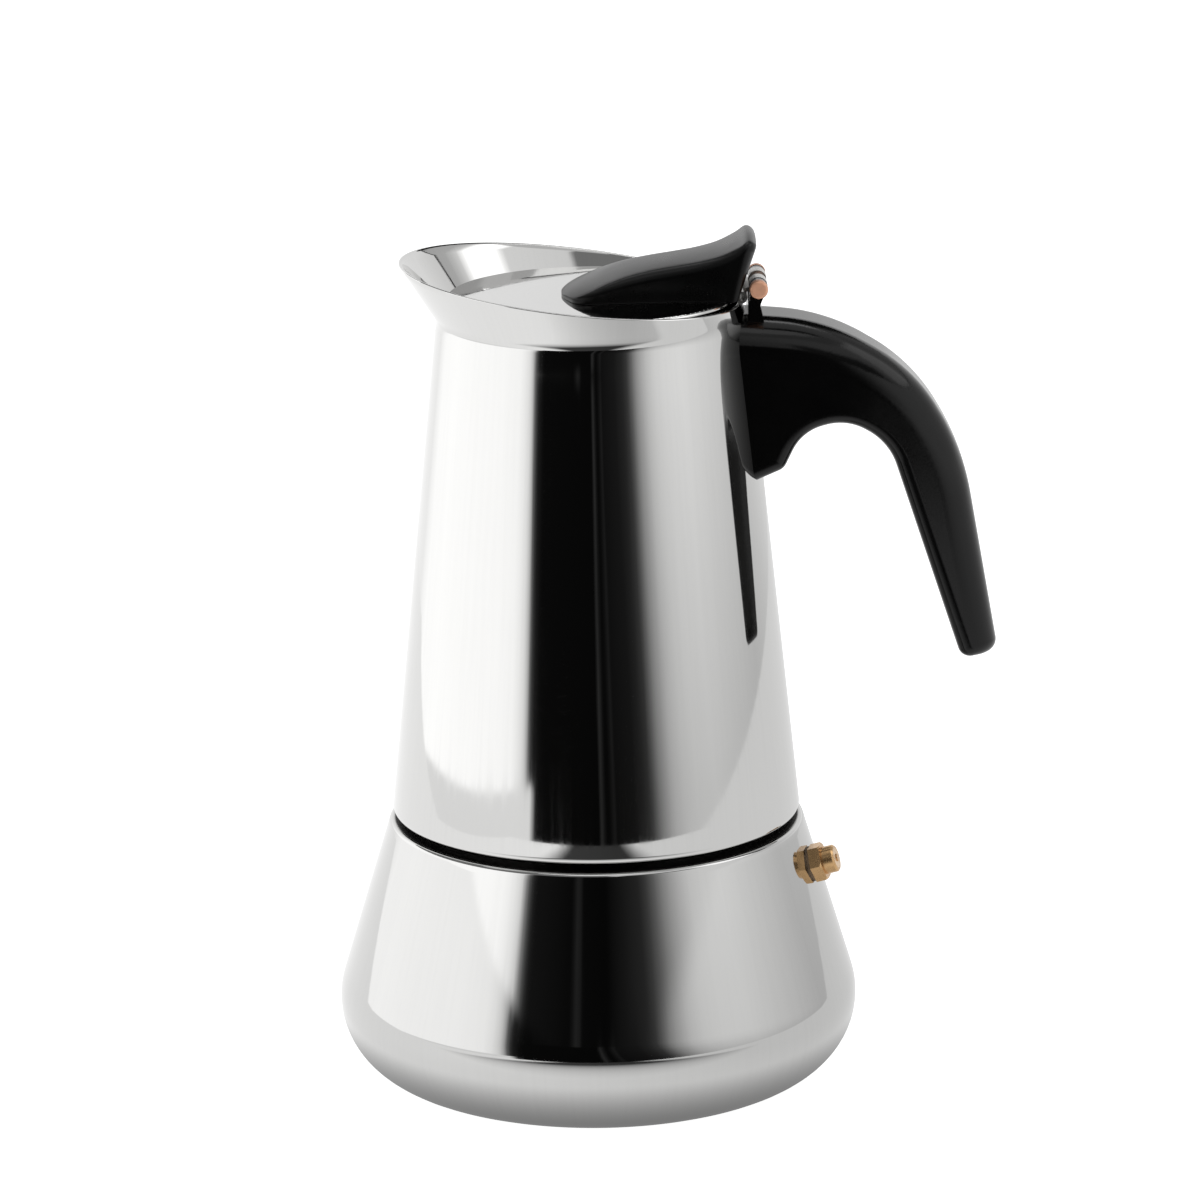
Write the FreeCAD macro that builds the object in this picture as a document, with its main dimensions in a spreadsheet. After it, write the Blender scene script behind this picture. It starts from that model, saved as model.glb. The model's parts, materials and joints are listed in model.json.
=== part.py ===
"""Moka pot of about six cups, as an assembly of separate pieces. Millimetres, +Z up.

The origin is on the pot's axis, at the face it stands on. The handle points to +X and the
spout to -X. Every piece is one object of the document, sized by the cells of one sheet.
"""
import FreeCAD, Part

import math
import os
import re

import Sketcher

Vector = FreeCAD.Vector
TOUCH = 0.01            # two points closer than this are the same corner
THROUGH = 400.0         # a pocket this deep goes right through any piece
START = 10.0            # size of a sketch's edges before their constraints place them

SIZES = {
    # boiler: a flat foot, a round bulge and a straight cone up to the shoulder
    "cone_slope": 0.305,
    "seam_radius": 45.06,
    "seam_height": 60.67,
    "foot_round": 17.3,
    "foot_sheet": 1.6,
    "wall": 1.0,
    "wall_run": 1.05,
    "shoulder_height": 58.5,
    "shoulder_round": 1.1,
    "neck_radius": 37.4,
    "neck_bore": 33.4,
    "neck_flange": 39.4,
    "neck_top": 67.5,
    "neck_chamfer": 0.6,
    # safety valve: heights are along its own axis, from the boiler's outer face
    "valve_azimuth": 12.4,
    "valve_height": 49.3,
    "shank_radius": 3.0,
    "shank_end": -8.0,
    "hex_base": 0.4,
    "hex_top": 3.0,
    "hex_half_flats": 3.81,
    "hex_half_corners": 4.4,
    "hex_chamfer": 0.4,
    "cap_outside": 3.05,
    "valve_tip": 5.8,
    "valve_bore": 2.2,
    "seat_bore": 1.0,
    "seat_height": -6.5,
    "plunger_radius": 2.1,
    "plunger_head": 1.2,
    "stem_radius": 0.8,
    "stem_tip": 6.1,
    "cap_height": 1.2,
    "cap_bore": 0.87,
    "washer_radius": 3.9,
    "nut_half_corners": 5.4,
    "nut_half_flats": 4.68,
    "nut_height": 3.4,
    "spring_radius": 1.6,
    "spring_wire": 0.25,
    "spring_turns": 6.0,
    # funnel
    "funnel_sheet": 0.6,
    "flange_radius": 36.6,
    "flange_sheet": 0.8,
    "basket_bore": 30.9,
    "basket_floor": 44.0,
    "cone_floor": 35.0,
    "collar_end": 31.0,
    "tube_radius": 5.0,
    "tube_bore": 4.3,
    "tube_end": 6.0,
    "plate_sheet": 0.8,
    "hole_radius": 0.9,
    "hole_pitch": 4.6,
    # seal and filter
    "gasket_radius": 36.8,
    "gasket_bore": 28.5,
    "gasket_height": 4.0,
    "gasket_rebate": 31.3,
    "rebate_depth": 0.9,
    "filter_radius": 31.0,
    # collector: a cone up to the crease, then a flare to the tilted rim
    "collector_slope": 0.10377,
    "crease_radius": 33.62,
    "hem_round": 1.3,
    "hem_turn": 2.4,
    "rim_round": 0.3,
    "crease_height": 170.92,
    "sheet": 0.9,
    "rim_radius": 37.5,
    "rim_shift": -4.5,
    "rim_height": 178.99,
    "rim_tilt": 6.9,
    "floor_sheet": 1.2,
    "thread_bore": 37.8,
    "seal_bore": 37.2,
    "thread_top": 68.1,
    "thread_foot": 61.9,
    "thread_wall": 1.4,
    "chimney_foot": 8.0,
    "chimney_flange": 11.0,
    "chimney_head": 5.6,
    "chimney_wall": 0.8,
    "chimney_top": 138.0,
    "outlet_radius": 2.0,
    "outlet_height": 130.5,
    "lid_of_chimney": 6.5,
    "cap_skirt": 3.5,
    "cap_seat": 5.74,
    # lid, its strap and the hinge
    "lid_radius": 31.2,
    "lid_top": 175.8,
    "lid_skirt": 5.0,
    "lid_sheet": 0.8,
    "pin_reach": 36.2,
    "pin_height": 178.2,
    "pin_radius": 1.1,
    "knuckle_bore": 1.18,
    "knuckle_radius": 2.0,
    "knuckle_half": 5.8,
    "knuckle_gap": 1.8,
    "ear_half": 8.2,
    "ear_inner": 6.2,
    "ear_radius": 1.9,
    "head_radius": 2.0,
    "head_height": 2.2,
    "strap_start": 4.0,
    "strap_half": 8.5,
    "strap_sheet": 0.8,
    "riser_foot": 0.2,
    "riser_sheet": 0.9,
    "eye_reach": 32.4,
    "eye_height": 176.3,
    "eye_radius": 1.35,
    "eye_bore": 0.75,
    "front_screw": 8.0,
    "rear_screw": 24.0,
    "screw_radius": 1.5,
    "screw_head": 2.8,
    "screw_head_height": 1.2,
    "screw_length": 6.0,
    "knob_arch": 120.0,
    "knob_room": 30.0,
    # handle and its bracket
    "handle_half": 12.5,
    "tip_half": 7.0,
    "taper_reach": 60.0,
    "taper_end": 91.0,
    "taper_round": 120.0,
    "tip_height": 95.2,
    "outer_round": 8.0,
    "inner_round": 2.6,
    "lug_start": 33.9,
    "lug_end": 36.4,
    "lug_top": 175.2,
    "lug_toe": 0.9,
    "lug_slope": 1.0,
    "lug_sink": 4.0,
    "fork_depth": 10.0,
    "bracket_foot": 149.0,
    "bracket_head": 165.0,
    "bracket_sheet": 1.2,
    "bracket_angle": 26.0,
    "tab_height": 157.0,
    "tab_sheet": 2.0,
    "tab_end": 52.0,
    "tab_half": 7.0,
    "handle_screw_reach": 47.0,
    "handle_screw_radius": 2.0,
    "handle_screw_head": 3.6,
    "handle_screw_seat": 149.5,
}

# Side outline of the handle: reach, height and corner round, from the root's top round the tip.
HANDLE_OUTLINE = [
    (30.0, 172.2, 0.0),
    (50.7, 170.6, 44.0),
    (69.9, 159.3, 39.0),
    (80.7, 141.2, 54.0),
    (88.8, 95.2, 0.0),
    (80.3, 95.2, 0.0),
    (64.2, 144.3, 14.4),
    (54.9, 149.6, 11.0),
    (45.4, 147.0, 10.1),
    (41.5, 138.9, 3.0),
    (30.0, 133.9, 0.0),
]

# Knob sections: reach, half width, height of the crown, round of the long edges.
KNOB_SECTIONS = [
    (-7.0, 12.3, 177.1, 0.3),
    (-3.0, 12.4, 178.0, 0.9),
    (2.0, 12.2, 180.0, 1.6),
    (7.0, 11.6, 181.6, 2.2),
    (13.0, 10.9, 182.9, 2.4),
    (20.0, 10.7, 184.0, 2.4),
    (26.0, 11.0, 185.2, 2.4),
    (31.0, 11.5, 187.3, 2.4),
    (37.0, 12.0, 191.3, 2.4),
]

# Plan of the knob from nose to tail: reach, half width and corner round.
KNOB_PLAN = [(-6.2, 5.5, 12.0), (-2.5, 13.2, 4.0), (33.4, 12.4, 3.0), (36.0, 5.5, 12.0)]

# Rear face of the knob: it leans back over the hinge and ends in a blunt tail.
KNOB_REAR = [
    (31.2, 174.0),
    (35.8, 186.2),
    (35.9, 187.7),
    (33.3, 190.2),
    (33.3, 196.0),
    (40.0, 196.0),
    (40.0, 174.0),
]

doc = FreeCAD.newDocument("MokaPot")
sheet = doc.addObject("Spreadsheet::Sheet", "Sizes")


def fill_sheet():
    """Write every driving dimension into a cell that is known by its alias."""
    cells = dict(SIZES)
    for number, (reach, height, round_) in enumerate(HANDLE_OUTLINE):
        cells[f"handle_{number}_reach"] = reach
        cells[f"handle_{number}_height"] = height
        cells[f"handle_{number}_round"] = round_
    for number, (reach, half, crown, round_) in enumerate(KNOB_SECTIONS):
        cells[f"knob_{number}_reach"] = reach
        cells[f"knob_{number}_half"] = half
        cells[f"knob_{number}_crown"] = crown
        cells[f"knob_{number}_round"] = round_
    for number, (reach, half, round_) in enumerate(KNOB_PLAN):
        cells[f"plan_{number}_reach"] = reach
        cells[f"plan_{number}_half"] = half
        cells[f"plan_{number}_round"] = round_
    for number, (reach, height) in enumerate(KNOB_REAR):
        cells[f"rear_{number}_reach"] = reach
        cells[f"rear_{number}_height"] = height
    for row, (name, value) in enumerate(cells.items(), 1):
        sheet.set(f"A{row}", name)
        sheet.set(f"B{row}", str(value))
        sheet.setAlias(f"B{row}", name)
    doc.recompute()


def size(name):
    """The number that a cell holds."""
    return float(sheet.get(name))


def bind(item, place, formula):
    """Tie a property to a formula of the sheet's cells."""
    item.setExpression(place, re.sub(r"[a-z]\w*", lambda word: "Sizes." + word.group(0), formula))


# ---------------------------------------------------------------- sketches and features


def new_body(name, label=None):
    body = doc.addObject("PartDesign::Body", name)
    body.Label = label or name
    return body


def new_sketch(body, plane, lift=None):
    """An empty sketch on one of the body's origin planes, lifted along its normal."""
    sketch = body.newObject("Sketcher::SketchObject", body.Name + "_sketch")
    origin_plane = next(item for item in body.Origin.OriginFeatures if item.Role == plane)
    sketch.AttachmentSupport = [(origin_plane, "")]
    sketch.MapMode = "FlatFace"
    if lift:
        bind(sketch, "AttachmentOffset.Base.z", lift)
    return sketch


def pin_point(sketch, edge, end, across, up, drawn=Vector(1, 1, 0)):
    """Hold one point of an edge at two formulas measured from the sketch's origin."""
    for kind, formula, start in (("DistanceX", across, drawn.x), ("DistanceY", up, drawn.y)):
        number = sketch.addConstraint(Sketcher.Constraint(kind, edge, end, start))
        bind(sketch, f"Constraints[{number}]", formula)


def draw_outline(sketch, corners):
    """A closed outline of straight edges; each corner is a pair of formulas."""
    count = len(corners)
    first = sketch.GeometryCount
    turns = [2 * math.pi * number / count for number in range(count)]
    loose = [Vector(START * math.cos(turn), START * math.sin(turn), 0) for turn in turns]
    for number in range(count):
        sketch.addGeometry(Part.LineSegment(loose[number], loose[(number + 1) % count]))
    for number in range(count):
        following = first + (number + 1) % count
        sketch.addConstraint(Sketcher.Constraint("Coincident", first + number, 2, following, 1))
    for number, (across, up) in enumerate(corners):
        pin_point(sketch, first + number, 1, across, up)


def draw_circle(sketch, radius, across="0", up="0"):
    edge = sketch.addGeometry(Part.Circle(Vector(1, 1, 0), Vector(0, 0, 1), START))
    pin_point(sketch, edge, 3, across, up)
    number = sketch.addConstraint(Sketcher.Constraint("Radius", edge, START))
    bind(sketch, f"Constraints[{number}]", radius)


def revolve(body, corners, angle=360):
    """Turn a profile of (radius, height) corners about the vertical axis."""
    sketch = new_sketch(body, "XZ_Plane")
    draw_outline(sketch, corners)
    feature = body.newObject("PartDesign::Revolution", body.Name + "_turned")
    feature.Profile = sketch
    feature.ReferenceAxis = (sketch, ["V_Axis"])
    feature.Angle = angle
    feature.Midplane = angle < 360
    doc.recompute()


def groove(body, corners):
    """Take away a turned profile of (radius, height) corners."""
    sketch = new_sketch(body, "XZ_Plane")
    draw_outline(sketch, corners)
    feature = body.newObject("PartDesign::Groove", body.Name + "_bored")
    feature.Profile = sketch
    feature.ReferenceAxis = (sketch, ["V_Axis"])
    feature.Angle = 360
    doc.recompute()


def pad(body, sketch, length, both_sides=True):
    feature = body.newObject("PartDesign::Pad", body.Name + "_pad")
    feature.Profile = sketch
    feature.Midplane = both_sides
    bind(feature, "Length", length)
    doc.recompute()


def pocket(body, sketch):
    """Cut a sketch right through the body, both ways, and make sure that it cut."""
    before = body.Shape.Volume
    feature = body.newObject("PartDesign::Pocket", body.Name + "_cut")
    feature.Profile = sketch
    feature.Midplane = True
    feature.Type = "Length"
    feature.Length = THROUGH
    doc.recompute()
    if body.Shape.Volume >= before:
        raise RuntimeError(f"{body.Label}: a pocket cut nothing")


def loft(body, kind, sketches):
    feature = body.newObject(f"PartDesign::{kind}Loft", body.Name + "_loft")
    feature.Profile = sketches[0]
    feature.Sections = sketches[1:]
    doc.recompute()


def edges_where(shape, test):
    return [f"Edge{number}" for number, edge in enumerate(shape.Edges, 1) if test(edge)]


def ring_edges(shape, height):
    """Names of the circular edges that lie flat at a height, the smallest first."""
    flat = []
    for number, edge in enumerate(shape.Edges, 1):
        box = edge.BoundBox
        if box.ZLength < TOUCH and abs(box.ZMin - height) < TOUCH:
            flat.append((box.XLength, f"Edge{number}"))
    return [name for _, name in sorted(flat)]


def dress(body, kind, names, place, formula):
    """Round or bevel the named edges of the body as it now is."""
    base = body.Tip
    feature = body.newObject(f"PartDesign::{kind}", body.Name + "_edge")
    feature.Base = (base, names)
    bind(feature, place, formula)
    doc.recompute()


def fillet(body, names, radius):
    dress(body, "Fillet", names, "Radius", radius)


def chamfer(body, names, width):
    dress(body, "Chamfer", names, "Size", width)


def cylinder(name, radius, height, base="0"):
    item = doc.addObject("Part::Cylinder", name)
    bind(item, "Radius", radius)
    bind(item, "Height", height)
    bind(item, "Placement.Base.z", base)
    return item


def cut(name, base, tool):
    item = doc.addObject("Part::Cut", name)
    item.Base = base
    item.Tool = tool
    item.Label = name
    doc.recompute()
    return item


def fuse(name, pieces):
    item = doc.addObject("Part::MultiFuse", name)
    item.Shapes = pieces
    doc.recompute()
    return item


# ---------------------------------------------------------------- boiler


def boiler_blank():
    """The drawn shell: foot, bulge, cone, and a flat shoulder with a hole for the neck."""
    body = new_body("boiler_blank")
    revolve(body, [
        ("0", "0"),
        ("seam_radius + seam_height * cone_slope", "0"),
        ("seam_radius + (seam_height - shoulder_height) * cone_slope", "shoulder_height"),
        ("neck_radius", "shoulder_height"),
        ("neck_radius", "shoulder_height - wall"),
        ("seam_radius + (seam_height - shoulder_height + wall) * cone_slope - wall_run",
         "shoulder_height - wall"),
        ("seam_radius + (seam_height - foot_sheet) * cone_slope - wall_run", "foot_sheet"),
        ("0", "foot_sheet"),
    ])
    shoulder = size("shoulder_height")
    fillet(body, ring_edges(body.Shape, 0)[-1:], "foot_round")
    fillet(body, ring_edges(body.Shape, size("foot_sheet"))[-1:], "foot_round - foot_sheet")
    fillet(body, ring_edges(body.Shape, shoulder)[-1:], "shoulder_round")
    return body


def boiler_neck():
    """Threaded neck ring, welded under the shoulder by its flange."""
    body = new_body("boiler_neck")
    revolve(body, [
        ("neck_bore", "shoulder_height - wall * 2"),
        ("neck_flange", "shoulder_height - wall * 2"),
        ("neck_flange", "shoulder_height - wall"),
        ("neck_radius", "shoulder_height - wall"),
        ("neck_radius", "neck_top"),
        ("neck_bore", "neck_top"),
    ])
    chamfer(body, ring_edges(body.Shape, size("neck_top"))[-1:], "neck_chamfer")
    return body


def valve_place():
    """Frame of the safety valve: its axis stands square on the cone."""
    lean = math.degrees(math.atan(size("cone_slope")))
    azimuth = size("valve_azimuth")
    height = size("valve_height")
    radius = size("seam_radius") + (size("seam_height") - height) * size("cone_slope")
    turn = math.radians(azimuth)
    foot = Vector(radius * math.cos(turn), -radius * math.sin(turn), height)
    return FreeCAD.Placement(foot, FreeCAD.Rotation(-azimuth, 90 - lean, 0))


def on_valve(item, along=0.0):
    """Put a piece that was drawn along +Z onto the valve's axis, moved along it."""
    step = FreeCAD.Placement(Vector(0, 0, along), FreeCAD.Rotation())
    item.Placement = valve_place().multiply(step)
    doc.recompute()
    return item


def boiler_shell():
    hole = doc.addObject("Part::Cylinder", "valve_hole")
    bind(hole, "Radius", "shank_radius")
    bind(hole, "Height", "nut_height * 4")
    on_valve(hole, -size("nut_height") * 2)
    return cut("boiler_shell", boiler_blank(), hole)


def hexagon_corners(half_flats, half_corners):
    """Corners of a hexagon that has a corner on each end of its vertical diameter."""
    return [
        ("0", half_corners),
        (f"-{half_flats}", f"{half_corners} / 2"),
        (f"-{half_flats}", f"-{half_corners} / 2"),
        ("0", f"-{half_corners}"),
        (half_flats, f"-{half_corners} / 2"),
        (half_flats, f"{half_corners} / 2"),
    ]


def mill_hexagon(body, base, height, half_flats, half_corners):
    """Mill six flats onto a turned blank between two heights."""
    before = body.Shape.Volume
    sketch = new_sketch(body, "XY_Plane", base)
    draw_outline(sketch, hexagon_corners(half_flats, half_corners))
    draw_circle(sketch, f"{half_corners} * 2")
    feature = body.newObject("PartDesign::Pocket", body.Name + "_flats")
    feature.Profile = sketch
    feature.Reversed = True
    bind(feature, "Length", height)
    doc.recompute()
    if body.Shape.Volume >= before:
        raise RuntimeError(f"{body.Label}: the hexagon cut nothing")


def valve_body():
    """Hollow brass body: threaded shank, hexagon and a round end that holds the cap."""
    body = new_body("valve_body")
    revolve(body, [
        ("seat_bore", "shank_end"),
        ("shank_radius", "shank_end"),
        ("shank_radius", "hex_base"),
        ("hex_half_corners", "hex_base"),
        ("hex_half_corners", "hex_top - hex_chamfer"),
        ("hex_half_corners - hex_chamfer", "hex_top"),
        ("cap_outside", "hex_top"),
        ("cap_outside", "valve_tip"),
        ("valve_bore", "valve_tip"),
        ("valve_bore", "seat_height"),
        ("seat_bore", "seat_height"),
    ])
    mill_hexagon(body, "hex_base", "hex_top - hex_base", "hex_half_flats", "hex_half_corners")
    chamfer(body, ring_edges(body.Shape, size("valve_tip"))[-1:], "hex_chamfer")
    return on_valve(body)


def valve_cap():
    """Ring pressed into the round end: it holds the spring and guides the stem."""
    body = new_body("valve_cap")
    revolve(body, [
        ("cap_bore", "valve_tip - cap_height"),
        ("valve_bore", "valve_tip - cap_height"),
        ("valve_bore", "valve_tip"),
        ("cap_bore", "valve_tip"),
    ])
    return on_valve(body)


def valve_pin():
    """Plunger: its head closes the seat and its stem shows through the cap."""
    body = new_body("valve_pin")
    revolve(body, [
        ("0", "seat_height"),
        ("plunger_radius", "seat_height"),
        ("plunger_radius", "seat_height + plunger_head"),
        ("stem_radius", "seat_height + plunger_head"),
        ("stem_radius", "stem_tip"),
        ("0", "stem_tip"),
    ])
    return on_valve(body)


def valve_spring():
    """Coil spring between the plunger's head and the cap."""
    start = size("seat_height") + size("plunger_head") + size("spring_wire")
    length = size("valve_tip") - size("cap_height") - size("spring_wire") - start
    helix = doc.addObject("Part::Helix", "spring_line")
    bind(helix, "Radius", "spring_radius")
    helix.Height = length
    helix.Pitch = length / size("spring_turns")
    wire = doc.addObject("Part::Circle", "spring_section")
    bind(wire, "Radius", "spring_wire")
    wire.Placement = FreeCAD.Placement(Vector(size("spring_radius"), 0, 0),
                                       FreeCAD.Rotation(Vector(1, 0, 0), 90))
    doc.recompute()
    spring = doc.addObject("Part::Sweep", "valve_spring")
    spring.Sections = [wire]
    spring.Spine = (helix, ["Edge1"])
    spring.Solid = True
    spring.Frenet = True
    spring.Label = "valve_spring"
    return on_valve(spring, start)


def valve_washer():
    """Sealing ring that follows the cone on one side and is flat under the hexagon."""
    ring = cut("washer_ring", cylinder("washer_blank", "washer_radius", "hex_base + wall", "-wall"),
               cylinder("washer_bore", "shank_radius", "hex_base + wall * 3", "-wall * 2"))
    on_valve(ring)
    cone = doc.addObject("Part::Cone", "boiler_cone")
    bind(cone, "Radius1", "seam_radius + (seam_height - foot_round * 2) * cone_slope")
    bind(cone, "Radius2", "seam_radius + (seam_height - shoulder_height) * cone_slope")
    bind(cone, "Height", "shoulder_height - foot_round * 2")
    bind(cone, "Placement.Base.z", "foot_round * 2")
    return cut("valve_washer", ring, cone)


def valve_nut(shell):
    """Hexagon nut inside the boiler; its face follows the wall."""
    body = new_body("nut_blank")
    sketch = new_sketch(body, "XY_Plane", "-wall / 2 - nut_height")
    draw_outline(sketch, hexagon_corners("nut_half_flats", "nut_half_corners"))
    draw_circle(sketch, "shank_radius")
    pad(body, sketch, "nut_height", both_sides=False)
    on_valve(body)
    return cut("valve_nut", body, shell)


# ---------------------------------------------------------------- funnel, seal and filter


def funnel_basket():
    """Coffee basket with a flange on the neck and a cone down to the dip tube's collar."""
    body = new_body("funnel_basket")
    revolve(body, [
        ("basket_bore", "neck_top + flange_sheet"),
        ("flange_radius", "neck_top + flange_sheet"),
        ("flange_radius", "neck_top"),
        ("basket_bore + funnel_sheet", "neck_top"),
        ("basket_bore + funnel_sheet", "basket_floor"),
        ("tube_radius + funnel_sheet", "cone_floor"),
        ("tube_radius + funnel_sheet", "collar_end"),
        ("tube_radius", "collar_end"),
        ("tube_radius", "cone_floor + funnel_sheet"),
        ("basket_bore", "basket_floor + funnel_sheet"),
    ])
    return body


def funnel_stem():
    """Dip tube pressed into the collar; it ends just above the boiler's floor."""
    body = new_body("funnel_stem")
    revolve(body, [
        ("tube_bore", "tube_end"),
        ("tube_radius", "tube_end"),
        ("tube_radius", "cone_floor"),
        ("tube_bore", "cone_floor"),
    ])
    return body


def perforated_disc(name, radius, base, rings):
    """Round plate with rings of holes, six more in each ring than in the one before."""
    body = new_body(name)
    revolve(body, [
        ("0", base),
        (radius, base),
        (radius, f"{base} + plate_sheet"),
        ("0", f"{base} + plate_sheet"),
    ])
    for ring in range(rings + 1):
        sketch = new_sketch(body, "XY_Plane", base)
        draw_circle(sketch, "hole_radius", f"hole_pitch * {ring}")
        pocket(body, sketch)
        if ring:
            pattern = body.newObject("PartDesign::PolarPattern", name + "_ring")
            pattern.Originals = [body.Tip]
            pattern.Axis = (sketch, ["N_Axis"])
            pattern.Angle = 360
            pattern.Occurrences = 6 * ring
            body.Tip = pattern
            doc.recompute()
    return body


def gasket():
    """Sealing ring between funnel and collector, with a rebate for the filter plate."""
    body = new_body("gasket")
    low = "neck_top + flange_sheet"
    top = f"{low} + gasket_height"
    revolve(body, [
        ("gasket_bore", low),
        ("gasket_radius", low),
        ("gasket_radius", top),
        ("gasket_rebate", top),
        ("gasket_rebate", f"{top} - rebate_depth"),
        ("gasket_bore", f"{top} - rebate_depth"),
    ])
    return body


# ---------------------------------------------------------------- collector

SEAL_TOP = "(neck_top + flange_sheet + gasket_height)"
FLOOR_TOP = f"({SEAL_TOP} + floor_sheet)"


def collector_radius(height):
    """Formula of the cone's outer radius at a height given as a formula."""
    return f"crease_radius + (crease_height - ({height})) * collector_slope"


def rim_circle(body, radius):
    """Circle of the rim: its centre is shifted to the spout and its plane is tilted."""
    sketch = new_sketch(body, "XY_Plane")
    sketch.AttachmentOffset = FreeCAD.Placement(Vector(), FreeCAD.Rotation(Vector(0, 1, 0), 1))
    bind(sketch, "AttachmentOffset.Base.x", "rim_shift")
    bind(sketch, "AttachmentOffset.Base.z", "rim_height")
    bind(sketch, "AttachmentOffset.Rotation.Angle", "rim_tilt")
    draw_circle(sketch, radius)
    return sketch


def flare(body, kind, inset):
    """Loft between the level crease and the tilted rim, both drawn in by the inset."""
    crease = new_sketch(body, "XY_Plane", "crease_height")
    draw_circle(crease, f"crease_radius - {inset}")
    loft(body, kind, [crease, rim_circle(body, f"rim_radius - {inset}")])


def collector_form(name):
    """The collector's outer form as a full solid: a cone with the flare on it."""
    body = new_body(name)
    revolve(body, [
        ("0", "seam_height"),
        ("seam_radius", "seam_height"),
        ("crease_radius", "crease_height"),
        ("0", "crease_height"),
    ])
    flare(body, "Additive", "0")
    return body


def collector_shell():
    """Sheet steel cone and flare, open at both ends, with a turned-in foot and a smooth rim."""
    body = collector_form("collector_shell")
    fillet(body, ring_edges(body.Shape, size("seam_height")), "hem_round")
    flare(body, "Subtractive", "sheet")
    groove(body, [
        ("0", "seam_height"),
        ("seam_radius - hem_turn", "seam_height"),
        ("seam_radius - hem_turn", "seam_height + sheet"),
        (f"{collector_radius('seam_height + sheet')} - sheet", "seam_height + sheet"),
        ("crease_radius - sheet", "crease_height"),
        ("0", "crease_height"),
    ])
    fillet(body, edges_where(body.Shape, lambda edge: edge.BoundBox.ZMax > size("rim_height")), "rim_round")
    return body


def collector_base():
    """Floor of the collector with the seal's chamber and the threaded collar."""
    body = new_body("collector_base")
    revolve(body, [
        ("chimney_foot", FLOOR_TOP),
        ("chimney_foot", SEAL_TOP),
        ("seal_bore", SEAL_TOP),
        ("seal_bore", "thread_top + thread_bore - seal_bore"),
        ("thread_bore", "thread_top"),
        ("thread_bore", "thread_foot"),
        ("thread_bore + thread_wall", "thread_foot"),
        ("thread_bore + thread_wall", SEAL_TOP),
        (f"{collector_radius(SEAL_TOP)} - sheet", SEAL_TOP),
        (f"{collector_radius(FLOOR_TOP)} - sheet", FLOOR_TOP),
    ])
    return body


def chimney():
    """Tapered riser with a foot flange on the floor and two outlets under its cap."""
    body = new_body("chimney")
    revolve(body, [
        ("chimney_foot - chimney_wall", SEAL_TOP),
        ("chimney_foot", SEAL_TOP),
        ("chimney_foot", FLOOR_TOP),
        ("chimney_flange", FLOOR_TOP),
        ("chimney_flange", f"{FLOOR_TOP} + chimney_wall"),
        ("chimney_foot", f"{FLOOR_TOP} + chimney_wall"),
        ("chimney_head", "chimney_top"),
        ("chimney_head - chimney_wall", "chimney_top"),
    ])
    outlet = new_sketch(body, "XZ_Plane")
    draw_circle(outlet, "outlet_radius", "0", "outlet_height")
    pocket(body, outlet)
    return body


def chimney_cap():
    """Cap over the top of the riser; it turns the coffee out sideways."""
    body = new_body("chimney_cap")
    revolve(body, [
        ("0", "chimney_top"),
        ("cap_seat", "chimney_top"),
        ("cap_seat", "chimney_top - cap_skirt"),
        ("lid_of_chimney", "chimney_top - cap_skirt"),
        ("lid_of_chimney", "chimney_top + chimney_wall"),
        ("0", "chimney_top + chimney_wall"),
    ])
    top = size("chimney_top") + size("chimney_wall")
    fillet(body, ring_edges(body.Shape, top)[-1:], "chimney_wall")
    return body


# ---------------------------------------------------------------- handle and hinge


def handle_bracket():
    """Saddle plate welded to the cone, with a tab that reaches into the handle."""
    body = new_body("handle_bracket")
    revolve(body, [
        (collector_radius("bracket_foot"), "bracket_foot"),
        (f"{collector_radius('bracket_foot')} + bracket_sheet", "bracket_foot"),
        (f"{collector_radius('bracket_head')} + bracket_sheet", "bracket_head"),
        (collector_radius("bracket_head"), "bracket_head"),
    ], angle=size("bracket_angle"))
    sketch = new_sketch(body, "XY_Plane", "tab_height")
    root = f"{collector_radius('tab_height')} + bracket_sheet / 2"
    draw_outline(sketch, [
        (root, "-tab_half"),
        ("tab_end", "-tab_half"),
        ("tab_end", "tab_half"),
        (root, "tab_half"),
    ])
    draw_circle(sketch, "handle_screw_radius", "handle_screw_reach")
    pad(body, sketch, "tab_sheet", both_sides=False)
    return body


def handle_screw():
    """Screw from below, through the handle's root into the tab."""
    body = new_body("handle_screw")
    revolve(body, [
        ("0", "handle_screw_seat - screw_head_height * 2"),
        ("handle_screw_head", "handle_screw_seat - screw_head_height * 2"),
        ("handle_screw_head", "handle_screw_seat"),
        ("handle_screw_radius", "handle_screw_seat"),
        ("handle_screw_radius", "tab_height + tab_sheet * 2"),
        ("0", "tab_height + tab_sheet * 2"),
    ])
    body.Placement = FreeCAD.Placement(Vector(size("handle_screw_reach"), 0, 0), FreeCAD.Rotation())
    doc.recompute()
    return body


def edges_at(shape, reach, height):
    """Names of the edges across the handle at one corner of its side outline."""
    return edges_where(shape, lambda edge: all(
        abs(point.X - reach) < TOUCH and abs(point.Z - height) < TOUCH for point in edge.Vertexes))


def edges_from(shape, reach, height):
    """Names of the side edges that start at one corner of the handle's root."""
    return edges_where(shape, lambda edge: edge.CenterOfMass.x > reach + START * TOUCH and any(
        abs(point.X - reach) < TOUCH and abs(point.Z - height) < TOUCH for point in edge.Vertexes))


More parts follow.
